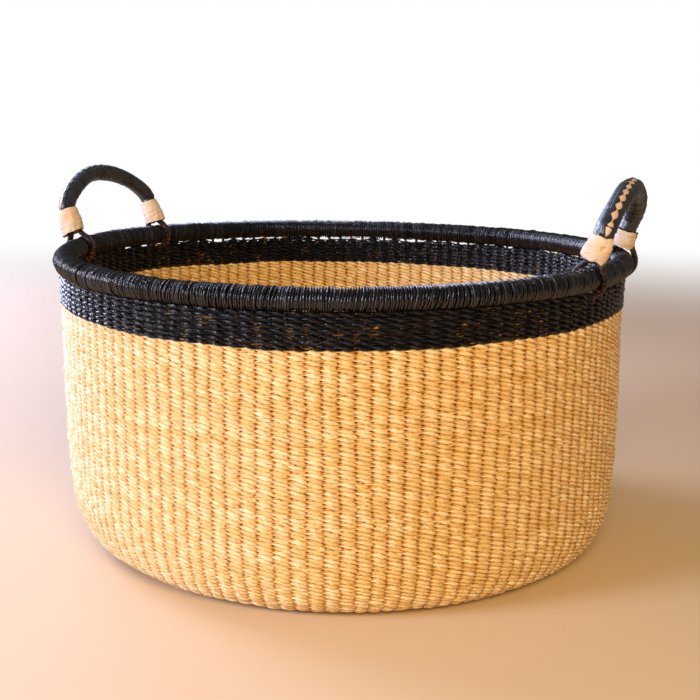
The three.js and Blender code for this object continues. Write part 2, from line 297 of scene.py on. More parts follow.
def around_ring(values, column):
    """Values given at whole columns, read between them and closed round the ring."""
    whole = np.floor(column).astype(int) % len(values)
    share = column - np.floor(column)
    share = share * share * (3 - 2 * share)
    return values[whole] * (1 - share) + values[(whole + 1) % len(values)] * share


# Modelling by hand


def start(primitive, **settings):
    """A new primitive, with nothing else selected and its place in its mesh."""
    bpy.ops.object.select_all(action="DESELECT")
    primitive(**settings)
    bpy.ops.object.transform_apply(location=True, rotation=True, scale=True)
    return bpy.context.active_object


def pick(piece, test, what="verts"):
    """In edit mode, selects only the vertices, edges or faces that pass the test."""
    bpy.ops.mesh.select_mode(type={"verts": "VERT", "edges": "EDGE", "faces": "FACE"}[what])
    mesh = bmesh.from_edit_mesh(piece.data)
    for group in (mesh.verts, mesh.edges, mesh.faces):
        for item in group:
            item.select = False
    for item in getattr(mesh, what):
        if test(item):
            item.select_set(True)
    mesh.select_flush_mode()
    bmesh.update_edit_mesh(piece.data)


def divide(piece, axis, least, cuts):
    """In edit mode, cuts up the edges that run further than least along an axis."""
    pick(piece, lambda edge: abs(edge.verts[0].co[axis] - edge.verts[1].co[axis]) > least, "edges")
    bpy.ops.mesh.subdivide(number_cuts=cuts)


def reshape(piece, move):
    """Moves every vertex by a rule that takes and gives an array of points."""
    points = np.empty(len(piece.data.vertices) * 3, np.float32)
    piece.data.vertices.foreach_get("co", points)
    moved = np.asarray(move(points.reshape(-1, 3).astype(float)), np.float32)
    piece.data.vertices.foreach_set("co", moved.ravel())
    piece.data.update()


def select_only(piece):
    bpy.ops.object.select_all(action="DESELECT")
    piece.select_set(True)
    bpy.context.view_layer.objects.active = piece


def close_ends(piece):
    """Fills the open ends of a piece's tubes and turns all faces outwards."""
    select_only(piece)
    bpy.ops.object.mode_set(mode="EDIT")
    pick(piece, lambda edge: edge.is_boundary, "edges")
    bpy.ops.mesh.fill_holes(sides=0)
    bpy.ops.mesh.select_all(action="SELECT")
    bpy.ops.mesh.normals_make_consistent(inside=False)
    bpy.ops.object.mode_set(mode="OBJECT")
    return piece


def add_wall(piece, thickness, offset):
    """Modifier that gives a surface its thickness, inwards at -1 and to both sides at 0."""
    wall = piece.modifiers.new("wall", "SOLIDIFY")
    wall.thickness = thickness
    wall.offset = offset


def apply_modifiers(piece):
    bpy.context.view_layer.objects.active = piece
    for modifier in list(piece.modifiers):
        bpy.ops.object.modifier_apply(modifier=modifier.name)


def settle(piece, place):
    """Puts a piece at its place, in its mesh, so that its object stays at the origin."""
    piece.matrix_world = place @ piece.matrix_world
    select_only(piece)
    bpy.ops.object.transform_apply(location=True, rotation=True, scale=True)


def dress(piece, name, material):
    """Names a piece and gives it its material."""
    piece.name = piece.data.name = name
    piece.data.materials.append(material)
    return piece


def finish_piece(piece, body, node):
    """Fastens a piece to its body and hides the solid that it stands for."""
    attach(piece, body)
    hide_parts(node)


# Materials. Numbers of streaks, patches and fibres are for a metre.

BLADE_STREAKS = 45  # along a blade, about 22 mm long
FIBRE_STREAKS = 70  # along a fibre, about 14 mm long
FIBRE_SLANT = 0.3  # how far fibres turn round a strand, for its length
STRAW_BLADE, STRAW_FIBRE = 1.5 * MM, 0.4 * MM  # fibres are drawn coarser than real ones, to show at all
DYED_BLADE, DYED_FIBRE = 1.2 * MM, 0.35 * MM  # a little finer than the straw's
WEAVE_FLECKS = (260, 700, 1)  # about 4 mm long and 1.4 mm wide
WINDING_FLECKS = (90, 900, 1)  # about 11 mm long and 1.1 mm wide
PATCHES = 90.0  # about 11 mm wide, of wear or of stain
STEMS = 260.0  # about 4 mm wide
STAKE_FIBRES = 2500.0  # 0.4 mm wide, drawn coarser than they are too


def add(tree, kind, values=None, ramp=None, **settings):
    """One node: settings are its options, values its inputs as numbers, colours or other nodes' outputs."""
    node = tree.nodes.new(kind)
    for key, value in settings.items():
        setattr(node, key, value)
    for key, value in (values or {}).items():
        socket = node.inputs[key]
        if isinstance(value, bpy.types.NodeSocket):
            tree.links.new(value, socket)
        else:
            socket.default_value = (*value, 1) if socket.type == "RGBA" else value
    if ramp:
        stops = node.color_ramp.elements
        while len(stops) < len(ramp):
            stops.new(0.5)
        for stop, (position, shade) in zip(stops, ramp):
            stop.position = position
            stop.color = (*shade, 1) if hasattr(shade, "__len__") else (shade, shade, shade, 1)
    return node


def new_material(name):
    material = bpy.data.materials.new(name)
    material.use_nodes = True
    material.node_tree.nodes.clear()
    return material, material.node_tree


def surface(tree, shade, rough, specular, height, depth, strength=1.0):
    """Ends a material: its shader, with the relief of a height pattern that is so deep, in metres."""
    relief = add(tree, "ShaderNodeBump", {"Strength": strength, "Distance": depth, "Height": height})
    shader = add(tree, "ShaderNodeBsdfPrincipled", {
        "Base Color": shade, "Roughness": rough, "Specular IOR Level": specular,
        "Normal": relief.outputs["Normal"]})
    add(tree, "ShaderNodeOutputMaterial", {"Surface": shader.outputs["BSDF"]})


def streaks(tree, place, counts, detail):
    """Noise drawn out along the grass."""
    drawn = add(tree, "ShaderNodeVectorMath", {0: place, 1: counts}, operation="MULTIPLY").outputs[0]
    return add(tree, "ShaderNodeTexNoise", {"Vector": drawn, "Scale": 1.0, "Detail": detail}).outputs["Fac"]


def grass_pattern(tree, blade, fibre):
    """Blades and fibres along a strand, with their relief, and each blade's tone and depth."""
    fibre_map = add(tree, "ShaderNodeUVMap", uv_map="fibres").outputs["UV"]
    parts = add(tree, "ShaderNodeSeparateXYZ", {"Vector": fibre_map})
    turned = add(tree, "ShaderNodeMath", {0: parts.outputs["X"], 1: FIBRE_SLANT, 2: parts.outputs["Y"]},
                 operation="MULTIPLY_ADD").outputs[0]
    place = add(tree, "ShaderNodeCombineXYZ", {"X": parts.outputs["X"], "Y": turned}).outputs[0]
    coarse = streaks(tree, place, (BLADE_STREAKS, 0.6 / blade, 1), 1.0)
    fine = streaks(tree, place, (FIBRE_STREAKS, 1 / fibre, 1), 3.0)
    drift = add(tree, "ShaderNodeMath", {0: coarse, 1: 1.6 * blade, 2: turned}, operation="MULTIPLY_ADD")
    phase = add(tree, "ShaderNodeMath", {0: drift.outputs[0], 1: math.pi / blade}, operation="MULTIPLY")
    wave = add(tree, "ShaderNodeMath", {0: phase.outputs[0]}, operation="SINE")
    ridges = add(tree, "ShaderNodeMath", {0: wave.outputs[0]}, operation="ABSOLUTE").outputs[0]
    relief = add(tree, "ShaderNodeMath", {0: ridges, 1: 1.2, 2: fine}, operation="MULTIPLY_ADD").outputs[0]
    tone, sunk = (add(tree, "ShaderNodeAttribute", attribute_name=name).outputs["Fac"]
                  for name in ("tone", "sunk"))
    return coarse, fine, ridges, relief, tone, sunk


def straw_material(name):
    """Elephant grass, split, dried and twined by hand.

    It gives the eye pale, half glossy blades, each of its own tone, with fine lines along them, honey-coloured
    edges where blades meet, which are painted shade in the grooves between them, and brown hollows where one
    goes under the next and on the sides against the stakes, which are painted shade too.
    """
    material, tree = new_material(name)
    palette = colours()
    coarse, fine, ridges, relief, tone, sunk = grass_pattern(tree, STRAW_BLADE, STRAW_FIBRE)
    lifted = add(tree, "ShaderNodeMath", {0: coarse, 1: 0.8, 2: tone}, operation="MULTIPLY_ADD").outputs[0]
    shade = add(tree, "ShaderNodeValToRGB", {"Fac": lifted}, ramp=(
        (0.25, palette.straw_pale), (0.8, palette.straw), (1.0, linear("#e6c791")))).outputs["Color"]
    # Painted shade: brown in the hollows at the crossings and on the sides that lie against the stakes
    hollow = add(tree, "ShaderNodeValToRGB", {"Fac": sunk}, ramp=(
        (0.4, 1.0), (0.64, linear("#efcf9c")), (0.95, palette.painted_hollow_shade))).outputs["Color"]
    lines = add(tree, "ShaderNodeValToRGB", {"Fac": fine}, ramp=((0.3, 0.8), (0.55, 1.0))).outputs["Color"]
    # Painted shade: darker honey-coloured lines in the grooves where blades meet
    edges = add(tree, "ShaderNodeValToRGB", {"Fac": ridges}, ramp=(
        (0.0, linear("#dcb074")), (0.3, 1.0))).outputs["Color"]
    for darker in (hollow, lines, edges):
        shade = add(tree, "ShaderNodeMix", {0: 1.0, 6: shade, 7: darker},
                    data_type="RGBA", blend_type="MULTIPLY").outputs[2]
    rough = add(tree, "ShaderNodeMapRange", {"Value": fine, "To Min": 0.38, "To Max": 0.56}).outputs["Result"]
    surface(tree, shade, rough, 0.38, relief, 0.4 * MM, strength=0.8)
    return material


def black_grass_material(name, flecks, rust_start, worn=None, rust=None, depth=0.2 * MM, shine=0.5):
    """Elephant grass boiled in black dye and worked while it is damp.

    It gives the eye smooth black blades with a narrow gleam, greyer where they have rubbed, nearly lost in the
    hollows and on the sides against the stakes, which is painted shade, and flecks of the rust-brown core
    where the dye has not gone in, a few more of them in the hollows.
    """
    material, tree = new_material(name)
    palette = colours()
    coarse, fine, _, relief, tone, sunk = grass_pattern(tree, DYED_BLADE, DYED_FIBRE)
    rubbed = add(tree, "ShaderNodeMath", {0: tone, 1: coarse}, operation="MULTIPLY").outputs[0]
    shade = add(tree, "ShaderNodeValToRGB", {"Fac": rubbed}, ramp=(
        (0.1, palette.black_grass), (0.3, palette.worn_black),
        (0.5, worn or palette.worn_black))).outputs["Color"]
    fibre_map = add(tree, "ShaderNodeUVMap", uv_map="fibres").outputs["UV"]
    bare = add(tree, "ShaderNodeMath", {0: sunk, 1: 0.1, 2: streaks(tree, fibre_map, flecks, 1.0)},
               operation="MULTIPLY_ADD").outputs[0]
    core = add(tree, "ShaderNodeValToRGB", {"Fac": bare}, ramp=(
        (rust_start, 0.0), (rust_start + 0.08, 1.0))).outputs["Color"]
    # Painted shade: near black in the hollows and on the sides that lie against the stakes
    shadow = add(tree, "ShaderNodeMapRange", {
        "Value": sunk, "From Min": 0.3, "From Max": 0.9, "To Min": 1.0, "To Max": 0.12}).outputs["Result"]
    dyed = add(tree, "ShaderNodeMix", {0: 1.0, 6: shade, 7: shadow},
               data_type="RGBA", blend_type="MULTIPLY").outputs[2]
    flecked = add(tree, "ShaderNodeMix", {0: core, 6: dyed, 7: rust or palette.rust},
                  data_type="RGBA").outputs[2]
    rough = add(tree, "ShaderNodeMapRange", {"Value": fine, "To Min": 0.16, "To Max": 0.34}).outputs["Result"]
    surface(tree, flecked, rough, shine, relief, depth)
    return material


def leather_material(name, base, dark, roughness, grain, crease, shine=0.4, depth=0.3 * MM):
    """Goatskin, tanned with bark, scraped thin and drawn on damp.

    It gives the eye a fine pebbled grain, soft creases and darker patches where it has been handled.
    """
    material, tree = new_material(name)
    place = add(tree, "ShaderNodeTexCoord").outputs["Object"]
    pebbles = add(tree, "ShaderNodeTexVoronoi", {"Vector": place, "Scale": 1 / grain}).outputs["Distance"]
    folds, patches = (
        add(tree, "ShaderNodeTexNoise", {"Vector": place, "Scale": scale, "Detail": detail}).outputs["Fac"]
        for scale, detail in ((1 / crease, 4.0), (PATCHES, 2.0)))
    share = add(tree, "ShaderNodeMapRange", {
        "Value": patches, "From Min": 0.35, "From Max": 0.7}).outputs["Result"]
    shade = add(tree, "ShaderNodeMix", {0: share, 6: base, 7: dark}, data_type="RGBA").outputs[2]
    height = add(tree, "ShaderNodeMath", {0: folds, 1: 3.0, 2: pebbles}, operation="MULTIPLY_ADD").outputs[0]
    rough = add(tree, "ShaderNodeMapRange", {
        "Value": folds, "To Min": roughness - 0.1, "To Max": roughness + 0.1}).outputs["Result"]
    surface(tree, shade, rough, shine, height, depth, strength=0.6)
    return material


def shaded_grass_material(name):
    """Elephant grass, dried and packed tight by the twining, in the depth of the weave.

    It gives the eye a dull brown floor to the holes between the stitches, a brown that is painted shade.
    """
    material, tree = new_material(name)
    place = add(tree, "ShaderNodeTexCoord").outputs["Object"]
    grain = add(tree, "ShaderNodeTexNoise", {"Vector": place, "Scale": STEMS, "Detail": 2.0}).outputs["Fac"]
    # Painted shade: dull browns for the depth of the weave
    shade = add(tree, "ShaderNodeValToRGB", {"Fac": grain}, ramp=(
        (0.35, linear("#5a3210")), (0.65, linear("#9c6526")))).outputs["Color"]
    surface(tree, shade, 0.7, 0.2, grain, 0.3 * MM, strength=0.5)
    return material


def stained_stake_material(name):
    """Grass stakes, stained by the dye of the rows beside them.

    They give the eye short bars between black and straw, with fibres along them.
    """
    material, tree = new_material(name)
    place = add(tree, "ShaderNodeTexCoord").outputs["Object"]
    stain = add(tree, "ShaderNodeTexNoise", {
        "Vector": place, "Scale": PATCHES, "Detail": 2.0}).outputs["Fac"]
    shade = add(tree, "ShaderNodeValToRGB", {"Fac": stain}, ramp=(
        (0.45, colours().black_grass), (0.54, linear("#3a2416")), (0.63, linear("#b98a4c")))).outputs["Color"]
    upright = add(tree, "ShaderNodeVectorMath", {0: place, 1: (1, 1, 0.1)}, operation="MULTIPLY").outputs[0]
    fibres = add(tree, "ShaderNodeTexNoise", {"Vector": upright, "Scale": STAKE_FIBRES}).outputs["Fac"]
    surface(tree, shade, 0.5, 0.5, fibres, 0.2 * MM, strength=0.5)
    return material


def floor_material(name):
    """A studio floor, rolled with matt paint.

    It gives the eye an even, pale ground without gloss, which fades into the white background far away.
    """
    material, tree = new_material(name)
    place = add(tree, "ShaderNodeTexCoord").outputs["Object"]
    far = add(tree, "ShaderNodeVectorMath", {0: place}, operation="LENGTH").outputs["Value"]
    fade = add(tree, "ShaderNodeMapRange", {"Value": far, "From Min": 1.1, "From Max": 2.4},
               interpolation_type="SMOOTHSTEP").outputs["Result"]
    paint = add(tree, "ShaderNodeBsdfPrincipled", {"Base Color": colours().floor, "Roughness": 0.75})
    clear = add(tree, "ShaderNodeBsdfTransparent")
    mix = add(tree, "ShaderNodeMixShader", {"Fac": fade, 1: paint.outputs[0], 2: clear.outputs[0]})
    add(tree, "ShaderNodeOutputMaterial", {"Surface": mix.outputs[0]})
    return material


def shared(make, name, *values, **more):
    """A material made at its first use, and then shared by all the pieces that have it."""
    return bpy.data.materials.get(name) or make(name, *values, **more)


def straw():
    return shared(straw_material, "dried_elephant_grass")


def black_weave():
    return shared(black_grass_material, "black_dyed_grass", WEAVE_FLECKS, 0.725)


def black_winding():
    """Blades that lie side by side, which hands have rubbed smoother and bluer than those of the band."""
    return shared(black_grass_material, "black_dyed_winding", WINDING_FLECKS, 0.72,
                  worn=linear("#2a2c42"), depth=0.08 * MM, shine=0.78)


def black_cord():
    """The ties are twisted from the roughest blades, which show the most of their rusty core."""
    return shared(black_grass_material, "black_dyed_cord", WEAVE_FLECKS, 0.57,
                  worn=linear("#25242b"), rust=linear("#7c4022"))


def black_leather():
    """Dyed and polished skin: a soft, wide, bluish sheen on black, and hardly any grain."""
    return shared(leather_material, "black_goatskin", colours().black_leather, linear("#0a0b0f"),
                  roughness=0.42, grain=0.7 * MM, crease=3 * MM, shine=1.0, depth=0.07 * MM)


def natural_leather():
    """Undyed skin: matt, cream to pale tan, with plain folds."""
    return shared(leather_material, "natural_goatskin", colours().natural_leather, linear("#c9ae9b"),
                  roughness=0.62, grain=0.8 * MM, crease=4 * MM)


def leather_thong():
    """Undyed thong: pinker and smoother than the cuffs."""
    return shared(leather_material, "leather_thong", linear("#cebbb9"), linear("#ba9f9b"),
                  roughness=0.5, grain=0.5 * MM, crease=3 * MM)


# The weave

STITCH_STEPS = 4  # steps of a strand over one stake
STRAND_SIDES = 6
STRAND_GIRTH = 11 * MM
STITCH_RISE = 1.1 * MM  # how far a strand is off its level between two stakes
HALF_DEPTH, THINNING = 3.0, 0.4  # of a strand across the wall, in mm, and how much thinner it is over a stake
STRAW_TWIST = {"flatness": 0.95, "half_height": 2.15 * MM, "sway": 1.1 * MM, "taper": 1.6}
BLACK_TWIST = {"flatness": 0.85, "half_height": 2.05 * MM, "sway": 1.8 * MM, "taper": 2.4}
LINING = 0.9 * MM  # thickness of the inner blades round the stakes
LINING_LAP = 0.4  # share of a row by which the black lining goes below the band
STAKE_RINGS = ((0.15, 1), (0.075, 2), (0.036, 4), (0.016, 8))  # beyond a radius, one in so many of the stakes
FEWEST_STAKES = 8
HIDDEN_SHADE = 0.64  # how far the side of a strand that lies against the stakes counts as sunk
BASE_MIDDLE = 3 * MM  # rows and lining stop this far from the middle of the base
STITCHES_IN_PIECE = 2040
UNEVEN = ((1, 0.07), (0, 0.16 * MM), (0, 0.2 * MM), (0, 0.075))  # mean, spread: swell, push, lift, slip


def model_twist(flatness, half_height, sway, taper):
    """One strand over a stake and under the next, modelled straight: its rings of (outward, upward) points."""
    rings = 2 * STITCH_STEPS
    piece = start(bpy.ops.mesh.primitive_cylinder_add, vertices=STRAND_SIDES, radius=1, depth=rings,
                  end_fill_type="NOTHING", location=(rings / 2, 0, 0), rotation=(0, math.pi / 2, 0))
    bpy.ops.object.mode_set(mode="EDIT")
    bpy.ops.mesh.select_all(action="SELECT")
    bpy.ops.transform.rotate(value=math.pi / STRAND_SIDES, orient_axis="X", center_override=(0, 0, 0))
    divide(piece, 0, 1, rings - 1)
    for ring in range(rings + 1):
        phase = math.pi * ring / STITCH_STEPS
        swell = abs(math.cos(phase))

        def in_ring(vert, x=ring):
            return abs(vert.co.x - x) < 0.1

        pick(piece, in_ring)
        bpy.ops.transform.resize(value=(
            1, (HALF_DEPTH - THINNING * swell) * MM, half_height * (0.3 + 0.7 * swell**taper)))
        pick(piece, lambda vert: in_ring(vert) and abs(vert.co.y) > 0.5 * MM)
        bpy.ops.transform.resize(value=(1, 1, flatness))
        pick(piece, in_ring)
        bpy.ops.transform.translate(value=(0, sway * math.cos(phase), -STITCH_RISE * math.sin(phase)))
        pick(piece, lambda vert: in_ring(vert) and abs(vert.co.z) < 0.6 * MM)
        bpy.ops.transform.resize(value=(1, 1 - 0.45 * (1 - swell), 1), center_override=(ring, 0, 0))
    bpy.ops.object.mode_set(mode="OBJECT")
    points = np.array([vertex.co for vertex in piece.data.vertices])
    bpy.data.objects.remove(piece)
    twist = np.empty((rings, STRAND_SIDES, 2))
    for ring in range(rings):
        own = points[np.abs(points[:, 0] - ring) < 0.1][:, 1:]
        centre = own.mean(0)
        twist[ring] = own[np.argsort(np.arctan2(own[:, 1] - centre[1], own[:, 0] - centre[0]))]
    return twist


def stakes_at(radius):
    """Stakes that a row crosses: new ones are added between the others as the base widens."""
    for limit, share in STAKE_RINGS:
        if radius > limit:
            return max(FEWEST_STAKES, sizes().stakes // share // 2 * 2)
    return FEWEST_STAKES


def bump(value, centre, width):
    """A smooth hump that is 1 at its centre."""
    return np.exp(-(((value - centre) / width) ** 2))


def around(angle, degrees, width):
    """A hump round the basket, by its direction and half width in degrees."""
    return bump(np.angle(np.exp(1j * (angle - math.radians(degrees)))), 0, math.radians(width))


def near_ties(angle):
    """1 where a tie passes under the rim, and nothing between the ties."""
    tie = math.degrees(math.atan2(half_span(), hinge_point().x))
    return sum(around(angle, degrees, 1.4) for degrees in (tie, 180 - tie, 180 + tie, -tie))


def pulled_in(angle, radius, height):
    """How far the soft wall has settled inwards: at its lower corner on one side, under the rim on another."""
    foot = bump(height, 0, 48 * MM) * np.clip((radius - 0.19) / 0.02, 0, 1)
    under_rim = 2.3 * around(angle, 10, 32) * bump(height, 0.19, 0.06)
    return MM * (foot * (0.5 + 4.5 * around(angle, -144, 48)) + under_rim)


def row_lift(angle, below, gaps):
    """How far a row is out of its level: pushed up to the rim in places, and dipping at the ties."""
    front = 1 / (1 + np.exp((0.17 - np.cos(angle + math.radians(98))) / 0.05))
    closed = np.clip(1.05 * front + gaps, 0, 1.1) * (1 - np.clip(near_ties(angle), 0, 1))
    top = (sizes().open_row + 0.9 * MM) * closed * bump(below, 0, 13 * MM)
    dip = 2.4 * MM * near_ties(angle) * bump(below, 0, 9 * MM)
    band = bump(below, band_top() - band_bottom(), 22 * MM)
    return top - dip + band * MM * (2.4 * around(angle, -152, 38) - around(angle, -75, 40))


def lay_row(strands, twist, line, distance, rng):
    """One twined row at a distance along the weave's line: two strands that cross between the stakes."""
    middle, normal, distances = line
    centre = np.array([np.interp(distance, distances, middle[:, k]) for k in (0, 1)])
    out = np.array([np.interp(distance, distances, normal[:, k]) for k in (0, 1)])
    up = np.array([-out[1], out[0]])
    count = stakes_at(centre[0])
    steps = np.arange(count * STITCH_STEPS)
    column = steps / STITCH_STEPS
    stitch = TURN * centre[0] / count
    start_along = rng.uniform(0, 5)
    below = band_top() - centre[1]
    gaps = around_ring(np.random.default_rng(12).uniform(0, 1, count) ** 2, column)
    for strand in (0, 1):
        ring = twist[(steps + strand * STITCH_STEPS) % len(twist)]
        swell, push, lift, slip = (around_ring(rng.normal(mean, spread, count), column)[:, None]
                                   for mean, spread in UNEVEN)
        swell = swell * (1 + 0.15 * bump(below, 0, 16 * MM))
        angle = TURN * (column + 0.5 + slip[:, 0]) / count
        angle = angle + wander(5, angle, distance, 0.004)
        ring_middle = ring.mean(1, keepdims=True)
        outward = (ring[..., 0] - ring_middle[..., 0]) * swell + ring_middle[..., 0] + push
        outward = outward + wander(7, angle, distance, 0.35 * MM)[:, None] * min(1, below / (20 * MM))
        outward = outward - pulled_in(angle, centre[0], centre[1])[:, None]
        upward = (ring[..., 1] - ring_middle[..., 1]) * swell + ring_middle[..., 1] + lift
        upward = upward + wander(9, angle, distance, 0.3 * MM)[:, None]
        radius = centre[0] + out[0] * outward + up[0] * upward
        height = centre[1] + out[1] * outward + up[1] * upward
        height = height + (rise(angle, centre[1]) + row_lift(angle, below, gaps))[:, None]
        height = np.maximum(height, 0.05 * MM)
        points = np.stack([radius * np.cos(angle)[:, None], radius * np.sin(angle)[:, None], height], -1)
        tones = np.repeat(blade_tones(rng, count, 6, 24), STITCH_STEPS)
        # Painted shade: darker at the crossings between the stakes and on the side of each strand that lies
        # against them
        between = np.abs(np.sin(math.pi * column))[:, None] ** 4
        crossing_shade = between * np.clip(1.45 - np.abs(ring[..., 1]) / (1.25 * MM), 0, 1)
        side = np.cos(math.pi * (column + strand))[:, None]
        hidden = -(ring[..., 0] - ring_middle[..., 0]) * side / (2.1 * MM)
        sunk = np.maximum(crossing_shade, np.clip(hidden * HIDDEN_SHADE, 0, HIDDEN_SHADE))
        strands.tube(points, start_along + strand + column * stitch, STRAND_GIRTH, tones, np.clip(sunk, 0, 1))


def weave(name, twist, line, rows, material, seed):
    """A piece of weave from the rows at these distances."""
    rng = np.random.default_rng(seed)
    strands = Strands()
    for distance in rows:
        lay_row(strands, twist, line, distance, rng)
    return strands.mesh(name, material)


def stake_layer(name, begin, end, material):
    """The stakes and inner blades, which show as the bottoms of the holes between the stitches."""
    middle, normal, distances = weave_line()
    layer = start(bpy.ops.mesh.primitive_cylinder_add, vertices=192, radius=1, depth=end - begin,
                  end_fill_type="NOTHING", location=(0, 0, (begin + end) / 2))
    bpy.ops.object.mode_set(mode="EDIT")
    divide(layer, 2, MM, max(4, round((end - begin) / (5 * MM))))
    bpy.ops.object.mode_set(mode="OBJECT")

    def follow(points):
        angle = np.arctan2(points[:, 1], points[:, 0])
        radius, height, out, up = (
            np.interp(points[:, 2], distances, values) for values in (*middle.T, *normal.T))
        below = band_top() - height
        outward = wander(7, angle, points[:, 2], 0.35 * MM) * np.clip(below / (20 * MM), 0, 1)
        outward = outward - pulled_in(angle, radius, height)
        lifted = height + up * outward + rise(angle, height) + row_lift(angle, below, 0.0)
        reach = radius + out * outward
        return np.stack([reach * np.cos(angle), reach * np.sin(angle), lifted], -1)

    reshape(layer, follow)
    add_wall(layer, LINING, 0)
    apply_modifiers(layer)
    bpy.ops.object.shade_smooth()
    return dress(layer, name, material)


def row_distances():
    """The weave's line, and the distances along it of the black rows and the straw rows, from the top down."""
    line = weave_line()
    pitch = sizes().row_pitch
    black = [line[2][-1] - (k + 0.5) * pitch for k in range(sizes().band_rows)]
    return line, black, np.arange(black[-1] - pitch, BASE_MIDDLE, -pitch)


def lining_edge(line):
    """Where the straw lining ends and the black one begins."""
    return line[2][-1] - (sizes().band_rows + LINING_LAP) * sizes().row_pitch


def row_groups(line, rows):
    """Rows shared out over pieces of a like number of stitches."""
    groups, stitches = [[]], 0
    for distance in rows:
        count = stakes_at(np.interp(distance, line[2], line[0][:, 0]))
        if stitches + count > STITCHES_IN_PIECE:
            groups.append([])
            stitches = 0
        groups[-1].append(distance)
        stitches += count
    return groups


class BASKET_OT_straw_weave(bpy.types.Operator):
    """Twine the straw wall and the base mat"""

    bl_idname = "basket.straw_weave"
    bl_label = "Straw weave"

    def execute(self, context):
        s = sizes()
        line, _, rows = row_distances()
        twist = model_twist(**STRAW_TWIST)
        foot = s.rim_diameter / 2 - s.wall_inset - s.wall_taper - s.corner_reach
        base_edge = np.interp(foot - s.foot_width, line[0][:, 0], line[2])
        for node, own in (("straw_wall", rows[rows > base_edge]), ("base_mat", rows[rows <= base_edge])):
            for number, group in enumerate(row_groups(line, own)):
                seed = 100 + number + len(own)
                piece = weave(f"{node}_weave_{number + 1}", twist, line, group, straw(), seed)
                finish_piece(piece, "basket", node)
        # The stakes of the straw wall and base mat are painted brown for the shade in the depth of the weave
        brown = shared(shaded_grass_material, "shaded_grass")
        for node, begin, end in (
                ("straw_wall", base_edge, lining_edge(line)), ("base_mat", BASE_MIDDLE, base_edge)):
            finish_piece(stake_layer(f"{node}_stakes", begin, end, brown), "basket", node)
        return {"FINISHED"}


class BASKET_OT_black_band(bpy.types.Operator):
    """Twine the black band, and set the stakes that stand between it and the rim"""

    bl_idname = "basket.black_band"
    bl_label = "Black band"

    def execute(self, context):
        line, rows, _ = row_distances()
        stained = shared(stained_stake_material, "stained_stake")
        for piece in (
            weave("black_band_weave", model_twist(**BLACK_TWIST), line, rows, black_weave(), 71),
            stake_tops(stained),
            stake_layer("black_band_stakes", lining_edge(line), line[2][-1] - 1.5 * MM, stained),
        ):
            finish_piece(piece, "basket", "black_band")
        return {"FINISHED"}


def stake_tops(material):
    """Tops of the stakes in the open row, one post modelled and copied round the basket."""
    s = sizes()
    height = s.open_row + 7 * MM
    middle = band_top() + s.open_row / 2
    post = start(bpy.ops.mesh.primitive_cylinder_add, vertices=8, radius=0.5, depth=1,
                 location=(rim_radius(), 0, middle), scale=(2.6 * MM, 3.6 * MM, height))
    bpy.ops.object.mode_set(mode="EDIT")
    divide(post, 2, MM, 2)
    pick(post, lambda vert: abs(vert.co.z - middle) < height / 4)
    bpy.ops.transform.resize(value=(0.85, 0.85, 1))
    bpy.ops.mesh.select_all(action="SELECT")
    bpy.ops.transform.rotate(value=-math.pi / s.stakes, orient_axis="Z", center_override=(0, 0, 0))
    bpy.ops.mesh.spin(steps=s.stakes - 1, dupli=True, angle=TURN * (1 - 1 / s.stakes),
                      center=(0, 0, 0), axis=(0, 0, 1))
    bpy.ops.object.mode_set(mode="OBJECT")

    def uneven(points):
        angle = np.arctan2(points[:, 1], points[:, 0])
        stake = np.floor(angle / TURN * s.stakes).astype(int) % s.stakes
        rng = np.random.default_rng(19)
        lean = rng.normal(0, 0.5 * MM, s.stakes)[stake] * (points[:, 2] - middle) / height * 2
        points[:, 0] -= lean * np.sin(angle)
        points[:, 1] += lean * np.cos(angle)
        points[:, 2] += rise(angle, points[:, 2])
        return points

    reshape(post, uneven)
    bpy.ops.object.shade_smooth_by_angle(angle=math.radians(50))
    return dress(post, "stake_tops", material)


# The rim roll


class BASKET_OT_rim(bpy.types.Operator):
    """Make the rim's grass bundle and wind it"""

    bl_idname = "basket.rim"
    bl_label = "Rim roll"

    def execute(self, context):
        finish_piece(grass_bundle(), "basket", "rim_bundle")
        finish_piece(rim_turns(), "basket", "rim_winding")
        return {"FINISHED"}


def grass_bundle():
    """The bundle of stems inside the rim roll, ribbed along its length."""
    bundle = start(bpy.ops.mesh.primitive_torus_add, major_segments=204, minor_segments=28,
                   major_radius=rim_radius(), minor_radius=roll_radius() - 1.9 * MM,
                   location=(0, 0, sizes().rim_height), generate_uvs=False)

    def stems(points):
        angle = np.arctan2(points[:, 1], points[:, 0])
        across = np.hypot(points[:, 0], points[:, 1]) - rim_radius()
        above = points[:, 2] - sizes().rim_height
        rib = 1 + 0.04 * np.cos(14 * np.arctan2(above, across) + 3 * angle)
        radius = rim_radius() + across * rib
        return np.stack([radius * np.cos(angle), radius * np.sin(angle),
                         sizes().rim_height + above * rib + rise(angle, sizes().rim_height)], -1)

    reshape(bundle, stems)
    bpy.ops.object.shade_smooth()
    # Its black, the band's dyed grass, is also painted shade: it shows as the dark gaps between the turns
    return dress(bundle, "rim_grass_bundle", black_weave())


TURN_STEPS = 16  # steps of the winding once round the roll
TURN_SIDES = 6
BLADE_HALF_WIDTH, BLADE_HALF_DEPTH = 0.66 * MM, 1.15 * MM
TURNS_IN_SLANT = 14  # the winding leans one way for this many turns


